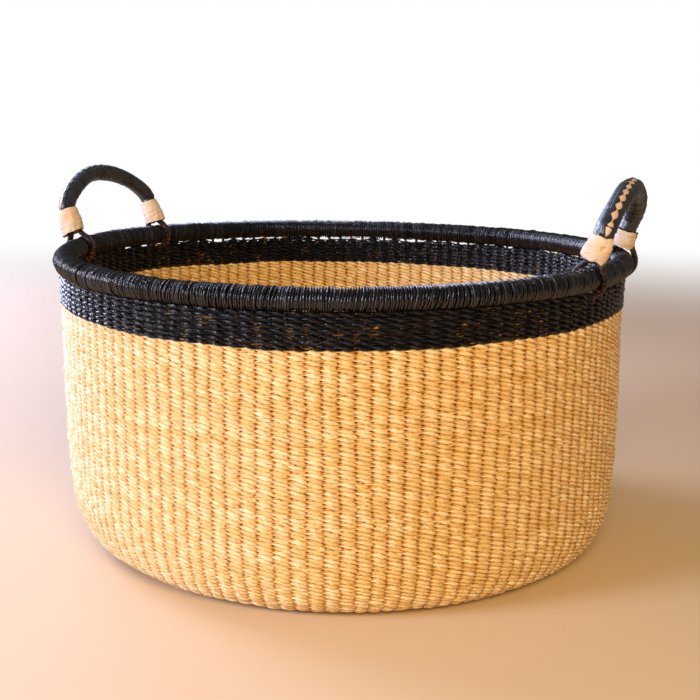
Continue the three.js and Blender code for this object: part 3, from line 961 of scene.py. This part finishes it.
def rim_turns():
    """The winding: one flat blade after another, laid in slightly uneven turns round the roll."""
    rng = np.random.default_rng(23)
    turns = round(TURN * rim_radius() / sizes().winding_pitch)
    steps = np.arange(turns * TURN_STEPS)
    turn = steps / TURN_STEPS
    phase = TURN * (steps % TURN_STEPS) / TURN_STEPS
    lean, bow, proud, width = (
        around_ring(rng.normal(mean, spread, turns), turn)
        for mean, spread in ((0, 0.35 * MM), (0, 0.3 * MM), (0, 0.34 * MM), (1.0, 0.22)))
    slants = turns // TURNS_IN_SLANT
    slant = around_ring(rng.normal(0, 1.0 * MM, slants), turn * slants / turns)
    fast = rng.normal(0, 0.05 * MM, len(steps))
    ring_angle = TURN * turn / turns
    shift = (lean * np.cos(phase) + slant * np.sin(phase) + bow * np.sin(2 * phase) + fast) / rim_radius()
    angle = ring_angle + shift
    centre = roll_radius() - 0.95 * MM + proud + wander(3, angle, 0, 0.15 * MM)
    section = TURN * (np.arange(TURN_SIDES) + 0.25) / TURN_SIDES
    outward = centre[:, None] + BLADE_HALF_DEPTH * np.cos(section)[None, :]
    sideways = BLADE_HALF_WIDTH * width[:, None] * np.sin(section)[None, :]
    along = angle[:, None] + sideways / rim_radius()
    radius = rim_radius() + outward * np.cos(phase)[:, None]
    height = sizes().rim_height + outward * np.sin(phase)[:, None] + rise(angle, sizes().rim_height)[:, None]
    points = np.stack([radius * np.cos(along), radius * np.sin(along), height], -1)
    tones = np.repeat(blade_tones(rng, turns, 1, 3), TURN_STEPS)
    strands = Strands()
    stride = TURN * roll_radius() / TURN_STEPS
    # Painted shade on the underside of the roll, which also gets more rust flecks there
    underside_shade_and_rust = np.clip(0.1 - np.sin(phase), 0, 1)[:, None]
    strands.tube(points, steps * stride, 5 * MM, tones, underside_shade_and_rust)
    return strands.mesh("rim_turns", black_winding())


# The handles


def arch_curve(handle):
    """The arch of a handle as a flat curve: X along the hinge line and Y up."""
    s = sizes()
    shoulder = s.cuff_start + s.cuff_length
    foot = shoulder - s.cuff_overlap
    crown_pull, shoulder_pull = 36 * MM, 9 * MM
    far = half_span() - handle["drawn_in"]
    knots = (
        ((-half_span(), foot), (0, -3 * MM), (0, 3 * MM)),
        ((-half_span(), shoulder), (0, -3 * MM), (0, shoulder_pull)),
        ((0, s.handle_top - handle["sag"]), (-crown_pull, 0), (crown_pull, 0)),
        ((far, shoulder), (0, shoulder_pull), (0, -3 * MM)),
        ((far, foot), (0, 3 * MM), (0, -3 * MM)),
    )
    data = bpy.data.curves.new("handle_arch", "CURVE")
    data.dimensions = "2D"
    data.resolution_u = 32
    spline = data.splines.new("BEZIER")
    spline.bezier_points.add(len(knots) - 1)
    for point, (place, before, after) in zip(spline.bezier_points, knots):
        point.handle_left_type = point.handle_right_type = "FREE"
        point.co = (*place, 0)
        point.handle_left = (place[0] + before[0], place[1] + before[1], 0)
        point.handle_right = (place[0] + after[0], place[1] + after[1], 0)
    curve = bpy.data.objects.new("handle_arch", data)
    bpy.context.scene.collection.objects.link(curve)
    return curve, spline.calc_length()


def bowed(handle):
    """Rule that moves the shoulders of an arch sideways, as it was bent by hand."""

    def move(points):
        high = np.clip((points[:, 1] - 26 * MM) / (24 * MM), 0, 1)
        for side, bow in zip((-1, 1), handle["bow"]):
            share = np.clip(points[:, 0] * side * handle["far"] / half_span(), 0, 1)
            points[:, 2] += bow * share * share * (3 - 2 * share) * high * high * (3 - 2 * high)
        return points

    return move


# From the flat curve's axes to a handle's: its X is along the hinge, its Y up and its Z outwards
ARCH_AXES = Matrix(((0, 0, 1, 0), (1, 0, 0, 0), (0, 1, 0, 0), (0, 0, 0, 1)))

LACING_TURN = math.radians(68)  # from the sleeve's outward side towards its top, at its feet
LACING_DRIFT = math.radians(17)  # how much nearer to the top it is in the middle of the arch
LACING_DIAMONDS = 16
LACING_EASE = 1.25  # the diamonds are wider than those of the solids by this
SLEEVE_CREASES = 96


def bend_along(piece, curve):
    """Bends a straight piece along the arch."""
    modifier = piece.modifiers.new("arch", "CURVE")
    modifier.object = curve
    modifier.deform_axis = "POS_X"
    apply_modifiers(piece)


def straight_tube(radius, tube_length, sides, cuts):
    """An open tube along X, with rings of vertices close enough to crease."""
    tube = start(bpy.ops.mesh.primitive_cylinder_add, vertices=sides, radius=radius, depth=tube_length,
                 end_fill_type="NOTHING", location=(tube_length / 2, 0, 0), rotation=(0, math.pi / 2, 0))
    bpy.ops.object.mode_set(mode="EDIT")
    divide(tube, 0, tube_length / 2, cuts)
    bpy.ops.object.mode_set(mode="OBJECT")
    return tube


def flat_strip(begin, strip_length, width):
    """A flat strip along X, of one face."""
    middle = (begin + strip_length / 2, 0, 0)
    strip = start(bpy.ops.mesh.primitive_plane_add, size=1, location=middle)
    bpy.ops.transform.resize(value=(strip_length, width, 1), center_override=middle)
    bpy.ops.object.transform_apply(location=True, rotation=True, scale=True)
    return strip


def leather_sleeve(handle, curve, arch_length):
    """Thin leather drawn tightly over the rope, creased across, and slimmer inside its cuffs."""
    radius = sizes().sleeve_diameter / 2
    sleeve = straight_tube(radius + handle["padding"], arch_length, 32, 420)
    rng = np.random.default_rng(handle["seed"])
    creases = [(rng.uniform(0, arch_length), rng.uniform(0, TURN), rng.uniform(0.6, 1.3) * MM,
                rng.uniform(0.6, 1.5) * MM, rng.normal(0, 2.0 * MM)) for _ in range(SLEEVE_CREASES)]
    foot = sizes().cuff_start + sizes().cuff_length - sizes().cuff_overlap
    near, far = (handle["cuffs"][end]["top"] * MM - foot + 2 * MM for end in (-1, 1))

    def crease(points):
        x, across = points[:, 0], np.hypot(points[:, 1], points[:, 2])
        angle = np.arctan2(points[:, 2], points[:, 1])
        depth = np.zeros(len(points))
        for place, side, width, deep, slant in creases:
            facing = np.clip(np.cos(angle - side) * 0.75 + 0.35, 0, 1)
            apart = x - place - slant * np.sin(angle - side)
            depth += deep * facing * (bump(apart, 0, width) - 0.35 * bump(apart, 0, 2.4 * width))
        swell = 0.25 * MM * np.sin(x / (9 * MM)) + 0.2 * MM * np.sin(2 * angle + x / (21 * MM))
        inside_cuff = np.where(x < arch_length / 2, near, far) - np.minimum(x, arch_length - x)
        swell = swell - 0.8 * MM * np.clip(inside_cuff / (4 * MM), 0, 1)
        points[:, 1:] *= ((across - depth + swell) / across)[:, None]
        return points

    reshape(sleeve, crease)
    add_wall(sleeve, sizes().leather, -1)
    bend_along(sleeve, curve)
    bpy.ops.object.shade_smooth()
    return dress(sleeve, f"{handle['name']}_leather_sleeve", black_leather())


def wrap_on_sleeve(points, radius, arch_length):
    """Lays flat points on the sleeve's outer face: Y is across the lacing and Z above the leather."""
    turn = LACING_TURN + LACING_DRIFT * np.sin(math.pi * points[:, 0] / arch_length) ** 2
    angle = math.pi / 2 - turn - points[:, 1] / radius
    reach = radius + points[:, 2]
    return np.stack([points[:, 0], reach * np.cos(angle), reach * np.sin(angle)], -1)


def diamond_row(arch_length):
    """Where the row of diamonds begins, their spacing and half their width."""
    begin = sizes().cuff_overlap
    return begin, (arch_length - 2 * begin) / LACING_DIAMONDS, sizes().lacing_width / 2 * LACING_EASE


def diamond_sides(along, least):
    """A diamond's half widths along it, from -1 to 1: one side comes to a point, the other is round."""
    pointed = np.clip(1 - np.abs(along + 0.12), least, 1)
    return pointed, np.clip(np.cos(along * math.pi / 2), 0, 1) ** 0.7 * (1 - least) + least


def lacing(handle, curve, arch_length):
    """A thong of natural leather laced through the sleeve's edges, which shows as a row of diamonds."""
    begin, spacing, half = diamond_row(arch_length)
    diamond = flat_strip(begin, spacing * 1.02, 2 * half)
    bpy.ops.object.mode_set(mode="EDIT")
    bpy.ops.mesh.subdivide(number_cuts=7)
    bpy.ops.object.mode_set(mode="OBJECT")

    def shape(points):
        pointed, rounded = diamond_sides((points[:, 0] - begin - spacing / 2) / (spacing / 2), 0.16)
        across = points[:, 1] / half
        width = np.where(across > 0, pointed, rounded)
        points[:, 1] = across * half * width
        points[:, 2] = 0.75 * MM * (1 - across**2) * (0.45 + 0.55 * width)
        return points

    reshape(diamond, shape)
    row = diamond.modifiers.new("row", "ARRAY")
    row.count = LACING_DIAMONDS
    row.use_relative_offset = False
    row.use_constant_offset = True
    row.constant_offset_displace = (spacing, 0, 0)
    row.use_merge_vertices = True
    row.merge_threshold = 0.2 * MM
    apply_modifiers(diamond)
    radius = sizes().sleeve_diameter / 2 + handle["padding"]
    rng = np.random.default_rng(handle["seed"] + 1)
    uneven = rng.normal(1, 0.12, LACING_DIAMONDS + 1)
    lean = rng.normal(0, 0.25 * MM, LACING_DIAMONDS + 1)

    def wrap(points):
        number = np.clip(((points[:, 0] - begin) / spacing).astype(int), 0, LACING_DIAMONDS)
        points[:, 1] = points[:, 1] * uneven[number] + lean[number] * 0.4
        return wrap_on_sleeve(points, radius, arch_length)

    reshape(diamond, wrap)
    add_wall(diamond, 0.9 * MM, -1)
    bend_along(diamond, curve)
    bpy.ops.object.shade_smooth()
    return dress(diamond, f"{handle['name']}_lacing_diamonds", leather_thong())


def laced_edge(handle, curve, arch_length):
    """The sleeve's two cut edges beside the lacing, drawn into points between the diamonds."""
    begin, spacing, half = diamond_row(arch_length)
    run = spacing * LACING_DIAMONDS
    edge = flat_strip(begin, run, 2)
    bpy.ops.object.mode_set(mode="EDIT")
    divide(edge, 0, run / 2, LACING_DIAMONDS * 8 - 1)
    divide(edge, 1, 1, 9)
    pick(edge, lambda face: abs(face.calc_center_median().y) < 0.15, "faces")
    bpy.ops.mesh.delete(type="FACE")
    bpy.ops.object.mode_set(mode="OBJECT")
    radius = sizes().sleeve_diameter / 2 + handle["padding"] - 0.2 * MM

    def shape(points):
        phase = (points[:, 0] - begin) / spacing
        pointed, rounded = diamond_sides(2 * (phase - np.floor(phase)) - 1, 0.1)
        side = np.sign(points[:, 1])
        width = np.where(side > 0, pointed, rounded)
        share = (np.abs(points[:, 1]) - 0.2) / 0.8
        inner = half * width * 0.8
        across = inner + share * (half + 1.6 * MM - inner)
        lip = 0.75 * MM * bump(share, 0, 0.35) * (0.6 + 0.4 * width)
        flat = np.stack([points[:, 0], side * across, lip + 0.15 * MM * (1 - share)], -1)
        return wrap_on_sleeve(flat, radius, arch_length)

    reshape(edge, shape)
    add_wall(edge, 0.7 * MM, 0)
    bend_along(edge, curve)
    bpy.ops.object.shade_smooth()
    return dress(edge, f"{handle['name']}_laced_edges", black_leather())


CUFF_LEATHER = 0.8 * MM  # 1.2 mm in the solids
CUFF_FOLDS, CUFF_CREASES, HEM_WAVES = 12, 26, 5


def cuff(handle, end):
    """A soft pouch of natural leather, tight on the sleeve and gathered over the two legs of the tie."""
    own = handle["cuffs"][end]
    foot, top, tilt, bulge, ease, aside = (
        own[key] * MM for key in ("foot", "top", "tilt", "bulge", "ease", "aside"))
    piece = start(bpy.ops.mesh.primitive_cylinder_add, vertices=56, depth=top - foot,
                  radius=sizes().sleeve_diameter / 2 + 0.5 * MM,
                  end_fill_type="NOTHING", location=(0, 0, (top + foot) / 2))
    bpy.ops.object.mode_set(mode="EDIT")
    divide(piece, 2, MM, 30)
    bpy.ops.object.mode_set(mode="OBJECT")
    rng = np.random.default_rng(handle["seed"] + (3 if end > 0 else 5))
    folds = [(rng.uniform(0, TURN), rng.uniform(0.12, 0.3), rng.uniform(0.3, 0.9) * MM,
              rng.uniform(-0.9, 0.9)) for _ in range(CUFF_FOLDS)]
    creases = [(rng.uniform(0.08, 0.95), rng.uniform(0, TURN), rng.uniform(0.3, 0.9),
                rng.uniform(0.014, 0.026), rng.uniform(0.3, 0.75) * MM, rng.uniform(-0.12, 0.12))
               for _ in range(CUFF_CREASES)]
    waves = [(rng.integers(2, 8), rng.uniform(0, TURN), rng.uniform(0.08, 0.25) * MM)
             for _ in range(HEM_WAVES)]
    dent = -58 if end < 0 else 40

    def shape(points):
        angle = np.arctan2(points[:, 1], points[:, 0])
        down = np.clip((top - points[:, 2]) / (top - foot), 0, 1)
        push = bulge * (np.sin(down * math.pi / 2) - down) / 0.21 + ease - 0.3 * MM * bump(down, 0, 0.05)
        for place, width, size, slant in folds:
            apart = np.angle(np.exp(1j * (angle - place - slant * down)))
            push = push + size * down**1.2 * (bump(apart, 0, width) - 0.5 * bump(apart, 0, 2 * width))
        for place, side, reach, width, deep, slant in creases:
            apart = np.angle(np.exp(1j * (angle - side)))
            push = push - deep * bump(down, place + slant * apart, width) * bump(apart, 0, reach)
        push = push - 1.7 * MM * around(angle, dent, 11) * bump(down, 0.42, 0.08)
        push = push + 1.1 * MM * around(angle, dent + 42, 24) * bump(down, 0.3, 0.25)
        radius = np.hypot(points[:, 0], points[:, 1]) + push
        hem = sum(size * np.sin(count * angle + phase) for count, phase, size in waves)
        height = points[:, 2] + hem * (down**3 - (1 - down) ** 6 * 0.6) * 1.5 - tilt * down * np.cos(angle)
        drawn_in = handle["drawn_in"] * (1 - 0.5 * down) if end > 0 else 0.0
        return np.stack([radius * np.cos(angle) * (1 + own["spread"] * down) + aside * down**1.5,
                         radius * np.sin(angle) * (1 + 0.1 * down) - drawn_in, height], -1)

    reshape(piece, shape)
    add_wall(piece, CUFF_LEATHER, -1)
    smooth = piece.modifiers.new("smooth", "SUBSURF")
    smooth.levels = smooth.render_levels = 1
    apply_modifiers(piece)
    bpy.ops.object.shade_smooth()
    settle(piece, twisted_place(handle) @ Matrix.Translation((0, end * half_span(), 0)))
    return dress(piece, f"{handle['name']}_leather_cuff_{'b' if end > 0 else 'a'}", natural_leather())


TIE_DEPTH = 5.4 * MM
TIE_GAP = 0.5 * MM  # from the roll to the tie
FORK_HEIGHT = 18 * MM  # where a leg begins to bend towards the roll, above the rim's middle
TOUCH_ANGLE = math.radians(60)  # where they come onto the roll, from its top
ROUTE_STEPS = 200
CORD_COVER = 0.7 * MM  # thickness of the winding over the core
CORD_PITCH = 1.75 * MM  # from one turn of its winding to the next
CORD_STEPS = 14  # in one turn


def tie_route():
    """Middle line of a tie beside its handle's upright plane, as points (outward, up), from leg to leg."""
    s = sizes()
    radius = roll_radius() + TIE_GAP + TIE_DEPTH / 2
    offset = s.sleeve_diameter / 2 - s.tie_diameter / 2
    begin, fork, pull = TOUCH_ANGLE, FORK_HEIGHT, radius / 3
    top = s.cuff_start + s.cuff_length - s.cuff_overlap - 0.3 * MM
    touch = np.array([radius * math.sin(begin), radius * math.cos(begin)])
    before = touch + pull * np.array([-math.cos(begin), math.sin(begin)])
    leg = [np.array([offset, height]) for height in np.linspace(top, fork, 8, endpoint=False)]
    knots = [np.array([offset, fork]), np.array([offset, fork - pull]), before, touch]
    for t in np.linspace(0, 1, 12, endpoint=False):
        leg.append((1 - t) ** 3 * knots[0] + 3 * (1 - t) ** 2 * t * knots[1]
                   + 3 * (1 - t) * t**2 * knots[2] + t**3 * knots[3])
    arc = [radius * np.array([math.sin(a), math.cos(a)]) for a in np.linspace(begin, TURN - begin, 40)]
    route = np.array(leg + arc + [point * (-1, 1) for point in reversed(leg)])
    distance = np.concatenate([[0], np.cumsum(np.linalg.norm(np.diff(route, axis=0), axis=1))])
    even = np.linspace(0, distance[-1], ROUTE_STEPS)
    return np.stack([np.interp(even, distance, route[:, k]) for k in (0, 1)], -1), distance[-1]


def tie_cord(handle, end):
    """A cord wound with fine black grass: a smooth core and close turns round it."""
    route, run = tie_route()
    strands = Strands()
    rng = np.random.default_rng(handle["seed"] + (11 if end > 0 else 13))
    place = np.array(handle_place(handle) @ Matrix.Translation((0, end * half_span(), 0)))
    along = np.gradient(route, axis=0)
    along /= np.linalg.norm(along, axis=1)[:, None]
    side = np.stack([along[:, 1], -along[:, 0]], -1)

    def lay(middle, out, across, radii, sides, tones, stride, girth):
        """Lays a tube with these half widths along its out and across directions."""
        section = TURN * np.arange(sides) / sides
        points = (middle[:, None, :] + out[:, None, :] * (radii[0] * np.cos(section))[None, :, None]
                  + across[:, None, :] * (radii[1] * np.sin(section))[None, :, None])
        points = points @ place[:3, :3].T + place[:3, 3]
        strands.tube(points, np.arange(len(middle)) * stride, girth, tones, np.zeros(1), closed=False)

    def spatial(plane):
        return np.stack([plane[:, 0], np.zeros(len(plane)), plane[:, 1]], -1)

    hinge_axis = np.array([0.0, 1.0, 0.0])
    deep, wide = TIE_DEPTH / 2 - CORD_COVER, sizes().tie_diameter / 2 - CORD_COVER
    lay(spatial(route), spatial(side), np.tile(hinge_axis, (len(route), 1)), (deep, wide), 12,
        np.full(len(route), 0.1), run / ROUTE_STEPS, 15 * MM)
    turns = int(run / CORD_PITCH)
    position = np.linspace(0, 1, turns * CORD_STEPS + 1)
    phase = TURN * position * turns
    slanted = position + 1.3 * MM / run * np.cos(phase)
    index = np.clip(slanted, 0, 1) * (len(route) - 1)
    middle, sideways, forward = (
        np.stack([np.interp(index, np.arange(len(route)), line[:, k]) for k in (0, 1)], -1)
        for line in (route, side, along))
    out = spatial(sideways) * np.cos(phase)[:, None] + hinge_axis * np.sin(phase)[:, None]
    wobble = np.interp(position * turns, np.arange(turns + 1), rng.normal(0, 0.12 * MM, turns + 1))
    path = (spatial(middle) + spatial(sideways) * ((deep + wobble) * np.cos(phase))[:, None]
            + hinge_axis * ((wide + wobble) * np.sin(phase))[:, None])
    tones = np.append(np.repeat(blade_tones(rng, turns, 1, 5), CORD_STEPS), 0.5)
    lay(path, out, spatial(forward), (0.65 * MM, 0.8 * MM), 6, tones, TURN * wide / CORD_STEPS, 4 * MM)
    return close_ends(strands.mesh(f"{handle['name']}_tie_cord_{'b' if end > 0 else 'a'}", black_cord()))


ROPE_STEPS, ROPE_SIDES = 160, 8
ROPE_LAY = 22 * MM  # length of one turn of a ply
PLY_RADIUS = 2.55 * MM


def rope_core(handle, arch_length, curve):
    """The three-ply grass rope inside the sleeve."""
    strands = Strands()
    along = np.linspace(0.5 * MM, arch_length - 0.5 * MM, ROPE_STEPS)
    section = (TURN * np.arange(ROPE_SIDES) / ROPE_SIDES)[None, :]
    for ply in range(3):
        phase = (along / ROPE_LAY * TURN + TURN * ply / 3)[:, None]
        points = np.stack([along[:, None] + 0 * section, PLY_RADIUS * (np.cos(phase) + np.cos(section)),
                           PLY_RADIUS * (np.sin(phase) + np.sin(section))], -1)
        strands.tube(points, along, 16 * MM, np.full(ROPE_STEPS, 0.5), np.zeros(1), closed=False)
    rope = close_ends(strands.mesh(f"{handle['name']}_grass_rope", straw()))
    bend_along(rope, curve)
    return rope


class BASKET_OT_handles(bpy.types.Operator):
    """Make both handles: rope, leather sleeve, laced edges and lacing"""

    bl_idname = "basket.handles"
    bl_label = "Handles"

    def execute(self, context):
        for handle in HANDLES:
            name = handle["name"]
            curve, arch_length = arch_curve(handle)
            pieces = (
                (rope_core(handle, arch_length, curve), "grass_rope", f"{name}_handle_rope"),
                (leather_sleeve(handle, curve, arch_length), "black_leather", f"{name}_handle_sleeve"),
                (laced_edge(handle, curve, arch_length), "black_leather", f"{name}_handle_sleeve"),
                (lacing(handle, curve, arch_length), "natural_leather", f"{name}_handle_lacing"),
            )
            for piece, slot, node in pieces:
                reshape(piece, bowed(handle))
                settle(piece, twisted_place(handle) @ ARCH_AXES)
                finish_piece(piece, f"{name}_handle", node)
            bpy.data.objects.remove(curve)
        return {"FINISHED"}


class BASKET_OT_ties(bpy.types.Operator):
    """Make the leather cuffs and the cords that tie the handles round the rim"""

    bl_idname = "basket.ties"
    bl_label = "Cuffs and ties"

    def execute(self, context):
        for handle in HANDLES:
            name = handle["name"]
            for letter, end in (("a", -1), ("b", 1)):
                finish_piece(cuff(handle, end), f"{name}_handle", f"{name}_cuff_{letter}")
                finish_piece(tie_cord(handle, end), f"{name}_handle", f"{name}_tie_{letter}")
        return {"FINISHED"}


# The stage

CAMERA_PLACE = (0.4211, -0.9913, 0.3772)
CAMERA_PITCH = 0.2002
CAMERA_HEADING = math.radians(23.5) - 0.0143
CAMERA_ROLL = 0.009
CAMERA_LENS = 62.84
AMBIENT = 0.23

# Name, place, height aimed at, size, power, tint, and the rays that don't see it: the room's light leaves no
# gleam, and the wall's is seen only in gleams
LAMPS = (
    ("window_lamp", (-1.65, -1.95, 0.95), 0.1, 0.95, 70, "#e4ebff", ()),
    ("side_lamp", (-2.1, 0.4, 1.15), 0.2, 1.1, 52, "#dfe3ff", ()),
    ("room_lamp", (1.15, -2.0, 1.35), 0.1, 1.6, 74, "#ffd688", ("glossy",)),
    ("wall_lamp", (-2.1, 1.05, 1.15), 0.25, 2.4, 92, "#c4d0ff", ("camera", "diffuse")),
)


def area_lamp(name, place, aim, size, power, tint, unseen_by):
    data = bpy.data.lights.new(name, "AREA")
    data.shape = "DISK"
    data.size = size
    data.energy = power
    data.color = linear(tint)
    lamp = bpy.data.objects.new(name, data)
    lamp.location = place
    lamp.rotation_euler = (Vector((0, 0, aim)) - Vector(place)).to_track_quat("-Z", "Y").to_euler()
    for ray in unseen_by:
        setattr(lamp, f"visible_{ray}", False)
    bpy.context.scene.collection.objects.link(lamp)


class BASKET_OT_stage(bpy.types.Operator):
    """Set the pale floor, the soft lamps and the camera"""

    bl_idname = "basket.stage"
    bl_label = "Stage"

    def execute(self, context):
        scene = context.scene
        floor = start(bpy.ops.mesh.primitive_plane_add, size=12, location=(0, 0, -0.2 * MM))
        dress(floor, "studio_floor", shared(floor_material, "painted_floor"))
        for lamp in LAMPS:
            area_lamp(*lamp)
        scene.world = bpy.data.worlds.new("studio")
        scene.world.use_nodes = True
        tree = scene.world.node_tree
        tree.nodes.clear()
        path = add(tree, "ShaderNodeLightPath").outputs["Is Camera Ray"]
        ambient = add(tree, "ShaderNodeBackground", {"Color": linear("#f8efe6"), "Strength": AMBIENT})
        white = add(tree, "ShaderNodeBackground", {"Color": (1, 1, 1), "Strength": 1.0})
        mix = add(tree, "ShaderNodeMixShader", {"Fac": path, 1: ambient.outputs[0], 2: white.outputs[0]})
        add(tree, "ShaderNodeOutputWorld", {"Surface": mix.outputs[0]})
        scene.view_settings.view_transform = "Standard"
        data = bpy.data.cameras.new("camera")
        data.lens = CAMERA_LENS
        camera = bpy.data.objects.new("camera", data)
        turned = Matrix.Rotation(CAMERA_HEADING, 4, "Z") @ Matrix.Rotation(math.pi / 2 - CAMERA_PITCH, 4, "X")
        camera.matrix_world = Matrix.Translation(CAMERA_PLACE) @ turned @ Matrix.Rotation(CAMERA_ROLL, 4, "Z")
        scene.collection.objects.link(camera)
        scene.camera = camera
        return {"FINISHED"}


OPERATORS = (
    BASKET_OT_stage,
    BASKET_OT_straw_weave,
    BASKET_OT_black_band,
    BASKET_OT_rim,
    BASKET_OT_handles,
    BASKET_OT_ties,
)


class BASKET_PT_panel(bpy.types.Panel):
    """Lists the basket's pieces, sizes and colours"""

    bl_idname = "BASKET_PT_panel"
    bl_label = "Hamper basket"
    bl_space_type = "VIEW_3D"
    bl_region_type = "UI"
    bl_category = "Basket"

    def draw(self, context):
        for operator in OPERATORS:
            self.layout.operator(operator.bl_idname)
        for group in (context.scene.basket_sizes, context.scene.basket_colours):
            box = self.layout.box()
            for name in group.__annotations__:
                box.prop(group, name)


CLASSES = (BasketSizes, BasketColours, *OPERATORS, BASKET_PT_panel)


def register():
    for item in CLASSES:
        bpy.utils.register_class(item)
    bpy.types.Scene.basket_sizes = PointerProperty(type=BasketSizes)
    bpy.types.Scene.basket_colours = PointerProperty(type=BasketColours)


def unregister():
    del bpy.types.Scene.basket_sizes
    del bpy.types.Scene.basket_colours
    for item in reversed(CLASSES):
        bpy.utils.unregister_class(item)


def main():
    register()
    for operator in OPERATORS:
        group, name = operator.bl_idname.split(".")
        getattr(getattr(bpy.ops, group), name)()


if __name__ == "__main__":
    main()
